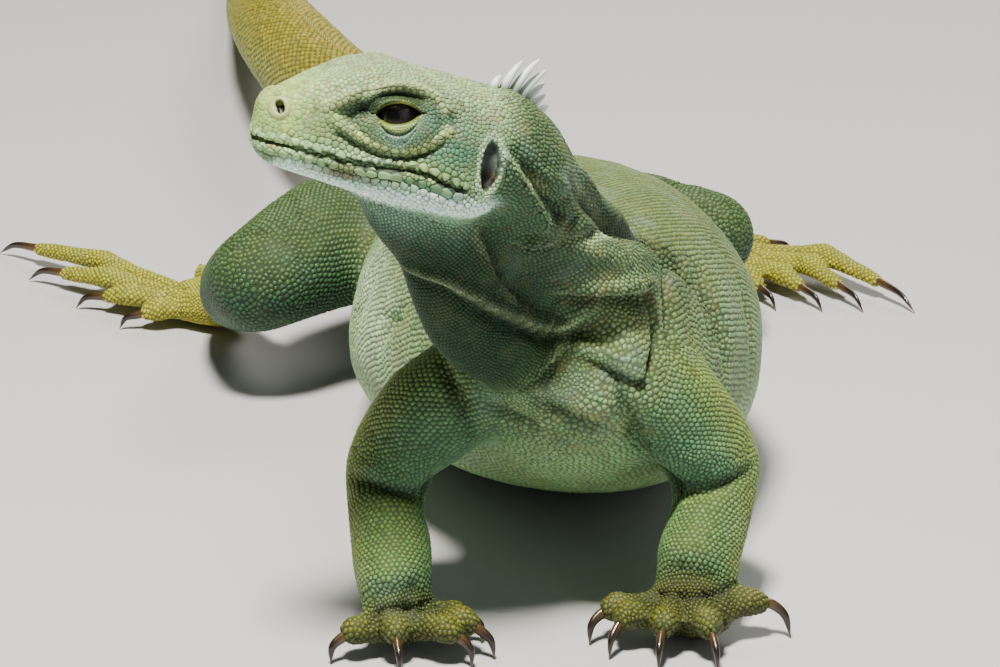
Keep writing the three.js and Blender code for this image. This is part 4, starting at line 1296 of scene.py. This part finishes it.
def coat_piece(name, which, sides, flat, material):
    """One joined mesh of plates. Rings run rim, edge (flat plates only), shoulder; the crown is one point.

    A flat plate's shoulder lies near its rim and nearly as high as its crown.
    """
    angles = (np.arange(sides) + 0.5) * 2 * np.pi / sides
    reach = reach_in(which, angles) * GROOVE
    at, out = root["at"][which], root_normal[which]
    run, across = root_run[which], root_across[which]
    thick = root["thick"][which] * rng.uniform(0.85, 1.15, len(which))
    keel = root["keel"][which]
    back = np.clip(np.cos(angles), 0, 1)
    overlap = 1 + (0.14 - 0.08 * flat) * back  # the back edge lies over the next plate
    lift = np.cos(angles)
    reach = reach * (1 - 0.07 * (1 - flat) * np.abs(np.sin(angles)))
    rim = (reach * overlap, np.broadcast_to(-0.09 + 0.08 * back * (1 - flat), reach.shape) * 1.0)
    narrow = 1 - (0.08 * (1 - flat) + 0.16 * keel[:, None]) * np.abs(np.sin(angles))
    shoulder = (reach * overlap * (0.72 + 0.1 * flat) * narrow,
                thick[:, None] * (0.62 + 0.22 * flat + (0.2 - 0.12 * flat) * lift) * narrow ** 2)
    edge = (reach * overlap * 0.93, thick[:, None] * np.full(sides, 0.55))
    rings_of = (rim, edge, shoulder) if flat == 1 else (rim, shoulder)
    layers = [at[:, None] + radius[..., None] * (
        np.cos(angles)[:, None] * run[:, None] + np.sin(angles)[:, None] * across[:, None])
        + height[..., None] * out[:, None] for radius, height in rings_of]
    crown_reach = reach.mean(axis=1) * (0.16 + 0.25 * keel)
    top = at + crown_reach[:, None] * run + (thick * (1 + 0.35 * keel))[:, None] * out
    verts = np.concatenate([*layers, top[:, None]], axis=1)
    verts[..., 2] = np.maximum(verts[..., 2], 0.0)  # soles rest on the floor
    levels = len(layers)
    per = levels * sides + 1
    k = np.arange(sides)
    n = (k + 1) % sides
    quads = np.concatenate([np.stack([k, n, sides + n, sides + k], axis=1) + m * sides
                            for m in range(levels - 1)])
    caps = np.stack([k, n, np.full(sides, sides)], axis=1) + (levels - 1) * sides
    caps[:, 2] = levels * sides
    offset = np.arange(len(which))[:, None, None] * per
    mesh = bpy.data.meshes.new(name)
    quad_loops = (quads[None] + offset).reshape(len(which), -1)
    cap_loops = (caps[None] + offset).reshape(len(which), -1)
    loops = np.concatenate([quad_loops, cap_loops], axis=1)
    sizes = np.tile(np.concatenate([np.full(len(quads), 4), np.full(sides, 3)]), len(which))
    starts = np.concatenate([[0], np.cumsum(sizes)[:-1]])
    mesh.vertices.add(len(which) * per)
    mesh.vertices.foreach_set("co", (verts * MM).ravel())
    mesh.loops.add(loops.size)
    mesh.loops.foreach_set("vertex_index", loops.ravel())
    mesh.polygons.add(len(sizes))
    mesh.polygons.foreach_set("loop_start", starts)
    mesh.update(calc_edges=True)
    tone = rng.normal(1.0, 0.13 - 0.04 * (flat == 1), len(which))[:, None]
    tint = 1 + rng.normal(0, 0.04, (len(which), 3))
    colour = root_paint[which] * tone * tint
    # Painted shade darkens each plate's sunk rim, less on the snout, and a painted highlight lightens its
    # crown.
    rim_shade = 0.4 + 0.45 * (flat == 1) * step_up(to_head(at)[:, 0], 28, 42)
    shade = np.concatenate([np.ones(sides), *[np.full(sides, 0.95)] * (levels - 1), [1.08]])
    shade = np.where(np.arange(per) < sides, rim_shade[:, None], shade)
    colour = np.clip(colour[:, None] * shade[..., None], 0, 1).reshape(-1, 3)
    give_colour(mesh, colour, np.repeat(root_speckle[which], per))
    spoke = np.stack([np.cos(angles), np.sin(angles)], axis=1) * MAP_PATCH
    local = np.concatenate([spoke, *([0.93 * spoke] * (levels - 2)), 0.74 * spoke, [[0.1 * MAP_PATCH, 0]]])
    uv = (unwrapped(which)[:, None] + local).reshape(-1, 2)
    layer = mesh.uv_layers.new(name="OFBake")
    layer.data.foreach_set("uv", uv[loops.ravel()].astype("f4").ravel())
    thing = bpy.data.objects.new(name, mesh)
    bpy.context.collection.objects.link(thing)
    finish(thing, material)


scale_horn = scaly_material("horn of the scales", 0.40, 0.05, 3000)
GROUPS = [
    ("head", 12, 1.0, lambda f: f == HEAD_FAMILY),
    ("neck", 6, 0.2, lambda f: f == 0),
    ("dewlap", 6, 0.2, lambda f: f == 1),
    ("trunk", 6, 0.3, lambda f: f == 2),
    ("tail", 7, 0.0, lambda f: f == 3),
    ("front_legs", 7, 0.2, lambda f: (f > 3) & (f < HEAD_FAMILY) & np.isin(
        f, [k for k, fam in enumerate(FAMILIES) if fam[0].startswith(("arm", "hand"))])),
    ("hind_legs", 6, 0.2, lambda f: (f > 3) & (f < HEAD_FAMILY) & np.isin(
        f, [k for k, fam in enumerate(FAMILIES) if fam[0].startswith(("leg", "foot"))])),
]
for name, sides, flat, wanted in GROUPS:
    which = np.flatnonzero(wanted(root["family"]))
    which = which[np.argsort(root["at"][which][:, 1], kind="stable")]
    parts = max(int(np.ceil(len(which) * (5 if flat == 1 else 3) * sides / PIECE_LIMIT)), 1)
    for k, part in enumerate(np.array_split(which, parts)):
        coat_piece(f"scales_{name}_{k + 1}", part, sides, flat, scale_horn)

# ------------------------------------------------------------ eyes and lids
# Each eye is a dark ball with a hollow iris behind a clear wet front; both are turned round the way that
# the eye looks. The rims of the lids are soft rolls of skin, swept along the edges of the opening.


def ring_faces(rows, sides, first_tip, last_tip):
    """Faces between rings that follow each other, and a fan from each end ring to its tip.

    first_tip, last_tip: point numbers. None leaves that end open.
    """
    k = np.arange(sides)
    n = (k + 1) % sides
    level = np.arange(rows - 1)[:, None] * sides
    quads = np.stack([level + k, level + n, level + sides + n, level + sides + k], axis=2)
    found = quads.reshape(-1, 4).tolist()
    if first_tip is not None:
        found += np.stack([n, k, np.full(sides, first_tip)], axis=1).tolist()
    if last_tip is not None:
        last = (rows - 1) * sides
        found += np.stack([last + k, last + n, np.full(sides, last_tip)], axis=1).tolist()
    return found


def swept(path, radii, ways, sides, ends=0.35):
    """A closed tube along a path: elliptical rings set square to the way it runs.

    ways: a direction for each place that the second radius points along, after squaring.
    """
    path = np.asarray(path, dtype=float)
    radii = np.broadcast_to(np.asarray(radii, dtype=float), (len(path), 2)).copy()
    run = unit(np.gradient(path, axis=0))
    second = unit(ways - np.sum(run * ways, axis=1, keepdims=True) * run)
    first = np.cross(second, run)
    turn = np.arange(sides) * 2 * np.pi / sides
    ring = (np.cos(turn)[:, None] * radii[:, None, :1] * first[:, None]
            + np.sin(turn)[:, None] * radii[:, None, 1:] * second[:, None])
    body = (path[:, None] + ring).reshape(-1, 3)
    tips = [path[0] - run[0] * radii[0].mean() * ends, path[-1] + run[-1] * radii[-1].mean() * ends]
    points = np.concatenate([body, tips])
    return points, ring_faces(len(path), sides, len(body), len(body) + 1)


def joined(parts):
    """Several (points, faces) pairs as one."""
    points, faces, start = [], [], 0
    for p, f in parts:
        points.append(p)
        faces += [[start + k for k in face] for face in f]
        start += len(p)
    return np.concatenate(points), faces


def outward(name, points, faces):
    """A new piece whose faces all look outward."""
    thing = put_mesh(name, points, faces)
    body = bmesh.new()
    body.from_mesh(thing.data)
    bmesh.ops.recalc_face_normals(body, faces=body.faces)
    body.to_mesh(thing.data)
    body.free()
    return thing


def painted(name, parts, paints):
    """A new piece of several parts, each with a colour for each of its points."""
    thing = outward(name, *joined(parts))
    give_colour(thing.data, np.concatenate(paints), np.zeros(len(thing.data.vertices)))
    return thing


def turned_solid(centre, axis, profile, around):
    """A form turned round an axis. profile: distance along the axis and from it, pole to pole."""
    side = unit(np.cross(axis, [0.0, 0.0, 1.0]))
    up = np.cross(side, axis)
    turn = np.arange(around) * 2 * np.pi / around
    ring = np.cos(turn)[:, None] * side + np.sin(turn)[:, None] * up
    body = centre + profile[1:-1, :1, None] * axis + profile[1:-1, 1:, None] * ring
    poles = centre + profile[[0, -1], :1] * axis
    points = np.concatenate([body.reshape(-1, 3), poles])
    return points, ring_faces(len(profile) - 2, around, len(points) - 2, len(points) - 1)


def plain_material(name, roughness, coat=0.0, speck=0.0):
    """Painted by the piece's own colours, with a fine grain."""
    material = bpy.data.materials.new(name)
    material.use_nodes = True
    tree = material.node_tree
    shader = tree.nodes["Principled BSDF"]
    paint_in = tree.nodes.new("ShaderNodeAttribute")
    paint_in.attribute_name = "paint"
    place = tree.nodes.new("ShaderNodeTexCoord")
    grain = tree.nodes.new("ShaderNodeTexNoise")
    grain.inputs["Scale"].default_value = 900
    grain.inputs["Detail"].default_value = 5
    tree.links.new(place.outputs["Object"], grain.inputs["Vector"])
    mix = tree.nodes.new("ShaderNodeMix")
    mix.data_type = "RGBA"
    mix.blend_type = "MULTIPLY"
    mix.inputs["Factor"].default_value = speck
    tree.links.new(paint_in.outputs["Color"], mix.inputs["A"])
    tree.links.new(grain.outputs["Color"], mix.inputs["B"])
    tree.links.new(mix.outputs["Result"], shader.inputs["Base Color"])
    shader.inputs["Roughness"].default_value = roughness
    shader.inputs["Coat Weight"].default_value = coat
    shader.inputs["Coat Roughness"].default_value = 0.04
    bump = tree.nodes.new("ShaderNodeBump")
    bump.inputs["Strength"].default_value = 0.25
    bump.inputs["Distance"].default_value = 0.05 * MM
    tree.links.new(grain.outputs["Fac"], bump.inputs["Height"])
    tree.links.new(bump.outputs["Normal"], shader.inputs["Normal"])
    return material


PUPIL_WAY = unit([0.56, 0.80, 0.19])
IRIS = 3.3  # reach of the iris from the middle of the pupil
PUPIL = 1.45  # and of the pupil
BALL_SIDES = 56
FRONT_SIDES = 40
LID_SIDES = 14
LID_REACH = LID_LENGTH * 1.02
ball_parts, cornea_parts, lid_parts, ball_paint, lid_paint = [], [], [], [], []
for side in (1.0, -1.0):
    flip = np.array([1.0, side, 1.0])
    centre = from_head(eye_centre * flip)
    axis = (PUPIL_WAY * flip) @ HEAD_AXES
    angle = np.concatenate([np.linspace(0, 0.75, 28), np.linspace(0.8, np.pi, 20)])
    off_axis = EYE_BALL * np.sin(np.minimum(angle, np.pi / 2))
    sunk = 0.55 * (1 - step_up(off_axis, 1.2, IRIS + 0.2))
    sunk += 0.5 * (1 - step_up(off_axis, PUPIL - 0.25, PUPIL))
    radius = EYE_BALL - 0.05 - sunk
    profile = np.stack([radius * np.cos(angle), EYE_BALL * np.sin(angle)], axis=1)
    ball_parts.append(turned_solid(centre, axis, profile, BALL_SIDES))
    far = np.concatenate([np.repeat(off_axis[1:-1], BALL_SIDES), [0.0, 9.0]])
    spokes = np.tile(np.arange(BALL_SIDES), len(angle) - 2)
    wave = np.sin(spokes * 2.3 + 1.1 * np.sin(spokes * 0.9))
    streak = np.concatenate([0.85 + 0.3 * np.abs(wave), [1.0, 1.0]])
    iris = srgb("130c08")[0] * streak[:, None]
    colour = blended(iris, srgb("3b2d1c")[0], 0.7 * bell((far - PUPIL - 0.2) / 0.22))
    colour = blended(colour, srgb("050303")[0], step_up(far, IRIS - 0.6, IRIS + 0.3))
    ball_paint.append(blended(colour, srgb("020202")[0], 1 - step_up(far, PUPIL - 0.12, PUPIL + 0.05)))
    dome = np.linspace(0, 0.72, 18)
    front = EYE_BALL + 0.02 + 0.38 * bell(dome / 0.42)
    back = EYE_BALL - 0.12
    outer = np.stack([front * np.cos(dome), front * np.sin(dome)], axis=1)
    inner = np.stack([back * np.cos(dome[::-1]), back * np.sin(dome[::-1])], axis=1)
    cornea_parts.append(turned_solid(centre, axis, np.concatenate([outer, inner]), FRONT_SIDES))
    for above, thick, fade in ((True, 0.5, 0.2), (False, 0.9, 0.3)):
        a = np.linspace(-LID_REACH, LID_REACH, 44)
        arc = lid_arc(a / LID_REACH, 0.0)
        b = (LID_ABOVE + 0.25 if above else -LID_BELOW - 0.35) * arc ** 0.8
        away_out = np.sqrt(EYE_BALL ** 2 - a * a - b * b) + (0.6 if above else 0.72)
        local = eye_centre + a[:, None] * lid_front + b[:, None] * lid_up + away_out[:, None] * gaze
        path = from_head(local * flip)
        bulk = fade + (thick - fade) * arc ** 0.5 * (1.0 if above else (1 - 0.12 * a / LID_LENGTH))
        out_way = np.broadcast_to((gaze * flip) @ HEAD_AXES, path.shape)
        lid_parts.append(swept(path, np.stack([bulk, 1.15 * bulk], axis=1), out_way, LID_SIDES))
        rim = np.repeat(srgb("757d25" if above else "67751f"), len(lid_parts[-1][0]), axis=0)
        bands = 1 + 0.12 * np.sin(np.arange(len(rim)) // LID_SIDES * 1.9)
        lid_paint.append(rim * bands[:, None])

eyeballs = painted("eyeballs", ball_parts, ball_paint)
wet = plain_material("wet eye", 0.5)
wet.node_tree.nodes["Principled BSDF"].inputs["Specular IOR Level"].default_value = 0.1
finish(eyeballs, wet, ["eye_left", "eye_right"])
corneas = painted("corneas", cornea_parts, [np.ones_like(part[0]) for part in cornea_parts])
clear = plain_material("clear front of the eye", 0.03)
clear_shader = clear.node_tree.nodes["Principled BSDF"]
clear_shader.inputs["Transmission Weight"].default_value = 1.0
clear_shader.inputs["IOR"].default_value = 1.34
clear_shader.inputs["Specular IOR Level"].default_value = 0.25
finish(corneas, clear)
lids = painted("lid_rims", lid_parts, lid_paint)
finish(lids, plain_material("soft rim of the lids", 0.42, 0.0, 0.35))

# ------------------------------------------------------------- the nostrils
# Each nostril opens in the middle of a smooth round plate of horn on the side of the snout. The plate is
# rings laid one inside the other: a rim in the skin, a rounded top and a funnel that leans to one side.

FUNNEL_SIDES = 40
RING_OUT = np.array([2.75, 2.6, 2.33, 2.05, 1.75, 1.46, 1.27, 1.17, 1.08, 1.02, 0.9, 0.66])
RING_UP = np.array([-0.45, 0.02, 0.32, 0.48, 0.55, 0.52, 0.38, 0.15, -0.2, -0.7, -1.2, -1.35])
HOLE_FLOOR = 1.4  # how deep the closed end of the funnel lies

nostril_parts, nostril_paint = [], []
for side in (1.0, -1.0):
    outer_at = from_head(NOSTRIL_AT * [1, side, 1])
    number = np.argsort(np.linalg.norm(points - outer_at, axis=1))[:200]
    rim_points = number[(np.linalg.norm(points[number] - outer_at, axis=1) > 2.0)]
    axis = unit(normals[rim_points].mean(axis=0))
    centre = outer_at + axis * np.mean((points[rim_points] - outer_at) @ axis)
    ahead = unit(forward - (forward @ axis) * axis)
    over = np.cross(axis, ahead)
    turn = np.arange(FUNNEL_SIDES) * 2 * np.pi / FUNNEL_SIDES
    hole = 1 - step_up(RING_OUT, 0.85, 2.2)
    shape = 1 + hole[:, None] * (0.32 * np.cos(2 * (turn - 1.9)) - 0.18 * np.cos(turn - 0.5))
    spread_out = RING_OUT[:, None] * shape
    body = (centre + RING_UP[:, None, None] * axis
            + spread_out[..., None] * (np.cos(turn)[:, None] * ahead + np.sin(turn)[:, None] * over))
    plate = np.concatenate([body.reshape(-1, 3), [centre - HOLE_FLOOR * axis]])
    nostril_parts.append((plate, ring_faces(len(RING_OUT), FUNNEL_SIDES, None, len(plate) - 1)))
    # The funnel darkens with its depth: painted shade inside the nostril.
    depth = np.clip((RING_UP * (RING_OUT < 1.2)) / -0.3, 0, 1)
    dark = np.concatenate([np.repeat(depth, FUNNEL_SIDES), [1.0]])
    nostril_paint.append(blended(np.repeat(srgb("aab46c"), len(plate), axis=0), srgb("0c0a06")[0], dark))
nostrils = painted("nostrils", nostril_parts, nostril_paint)
finish(nostrils, plain_material("smooth horn of the nostrils", 0.45, 0.0, 0.3))

# ----------------------------------------------------------------- the crest
# One row of flat spines of pale horn: tall on the nape, low along the back, fading on the tail. Each is
# swept along a path that curves back, with its foot in the skin.

NAPE_FROM = np.array([-3.5, -7.0, 134.0])
NAPE_STEP = 3.0
NAPE_TALL = (2.8, 6.8, 9.2, 8.4, 6.6, 5.4, 5.2)
NAPE_SPINES = len(NAPE_TALL)
BACK_STEP = 2.4
SPINE_SIDES = 8


def crest_path(line):
    """The top of the skin above a line: places where rays that go up from it leave the skin."""
    place, _, up, _ = stations(line, 1.0)
    hit, number, _ = cast(place, up)
    return hit[number >= 0]


def spine(foot, back, out, tall, thick, deep):
    """A flat spine that curves back: its middle is foot + t tall out + 0.4 t^1.6 tall back."""
    t = np.linspace(-0.25, 1, 11)
    rise = np.clip(t, 0, None)
    path = foot + t[:, None] * tall * out + 0.4 * (rise ** 1.6)[:, None] * tall * back
    thin = np.clip((1 - 0.35 * rise) * (1 - rise ** 5) ** 0.7, 0.08, 1)
    radii = np.stack([thick * thin, deep * thin], axis=1)
    return swept(path, radii, np.broadcast_to(back, path.shape), SPINE_SIDES)


nape_top = crest_path(from_base([(-15, -12, 121.5), *NECK_LINE]))
nape_top = nape_top[np.linalg.norm(nape_top - from_base(NAPE_FROM), axis=1).argmin():]
back_top = crest_path(from_base(TRUNK_LINE + TAIL_LINE[3:8]))
back_top = back_top[back_top[:, 1] > nape_top[-1, 1] + 3]
top = np.concatenate([nape_top, back_top])
top = evened(top, np.stack([np.arange(len(top) - 1), np.arange(1, len(top))], axis=1), 6, 0.5)
length = lengths_along(top)
at = np.concatenate([np.arange(NAPE_SPINES) * NAPE_STEP,
                     np.arange(NAPE_SPINES * NAPE_STEP + 1, length[-1] - 2, BACK_STEP)])
feet, foot_face = nearest_on(skin_tree, places_at(top, length, at))
outs = unit(normals[faces[foot_face]].mean(axis=1))
backs = unit(np.gradient(feet, axis=0))
outs = unit(outs - np.sum(outs * backs, axis=1, keepdims=True) * backs)
tall = np.interp(at, [0, 60, 200, length[-1]], [1.9, 2.1, 1.9, 0.9]) * rng.uniform(0.9, 1.1, len(at))
tall[:NAPE_SPINES] = NAPE_TALL
crest_parts, crest_paint = [], []
for k, (foot, back, out, high) in enumerate(zip(feet, backs, outs, tall)):
    big = k < NAPE_SPINES
    body_share = 1 - step_up(foot[1] - base[1], 150, 190)
    crest_parts.append(spine(foot, back, out, high, 1.0 if big else 0.5, 1.15 if big else 0.95))
    rise = np.clip((crest_parts[-1][0] - foot) @ out / high, 0, 1)
    colour = np.repeat(paint[faces[foot_face[k]]].mean(axis=0)[None], len(rise), axis=0)
    pale, tip_pale = (0.97, 0.85) if big else (0.2 * body_share, 0.2 * body_share)
    colour = blended(colour, srgb("eef8f0")[0], pale * step_up(rise, -0.1, 0.4))
    crest_paint.append(blended(colour, srgb("f0ecd0")[0], tip_pale * step_up(rise, 0.6, 1.0)))
crest = painted("crest", crest_parts, crest_paint)
finish(crest, plain_material("pale horn of the crest", 0.38, 0.15, 0.12))

# ----------------------------------------------------------------- the claws
# Twenty curved claws of glossy dark amber horn, each rooted in the blunt end of its digit. A claw is a
# tube swept over a hooked path that ends at the tip of its own node.

CLAW_SIDES = 12
claw_parts, claw_paint, claw_nodes = [], [], []
for paw_name, paw_digits in DIGITS.items():
    for k, digit in enumerate(paw_digits):
        node = f"claw_{paw_name}_{k + 1}"
        solid = solid_of(node)[0]
        knuckle, end = from_base(digit[1]), from_base(digit[2])
        ahead = unit(end - knuckle)
        tip = solid[np.linalg.norm(solid - end, axis=1).argmax()]
        girth = np.linalg.norm(solid - end - ahead * 0.2, axis=1)
        thick = np.sort(girth)[:5].mean()
        hook = (end + tip) / 2 + ahead * 1.2 + [0, 0, 1.3]
        path = curve_through([end - 1.6 * ahead, end + 0.8 * ahead, hook, tip], 0.4)
        along = np.linspace(0, 1, len(path))
        slim = thick * (1.0 - 0.3 * along) * np.clip(1 - along ** 3, 0.12, 1) ** 0.8
        upright = np.broadcast_to([0.0, 0.0, 1.0] + 0.3 * ahead, path.shape)
        horn, horn_faces = swept(path, np.stack([0.78 * slim, slim], axis=1), upright, CLAW_SIDES)
        horn[:, 2] = np.maximum(horn[:, 2], 0.0)  # claws rest on the floor
        claw_parts.append((horn, horn_faces))
        shade = np.concatenate([np.repeat(along, CLAW_SIDES), [0.0, 1.0]])
        colour = blended(np.repeat(srgb("4e381a"), len(shade), axis=0), srgb("1e150b")[0],
                         step_up(shade, 0.15, 0.55))
        claw_paint.append(blended(colour, srgb("6d4f27")[0], 0.7 * step_up(shade, 0.8, 1.0)))
        claw_nodes.append(node)
claws = painted("claws", claw_parts, claw_paint)
finish(claws, plain_material("amber horn of the claws", 0.28, 0.35, 0.25), claw_nodes)
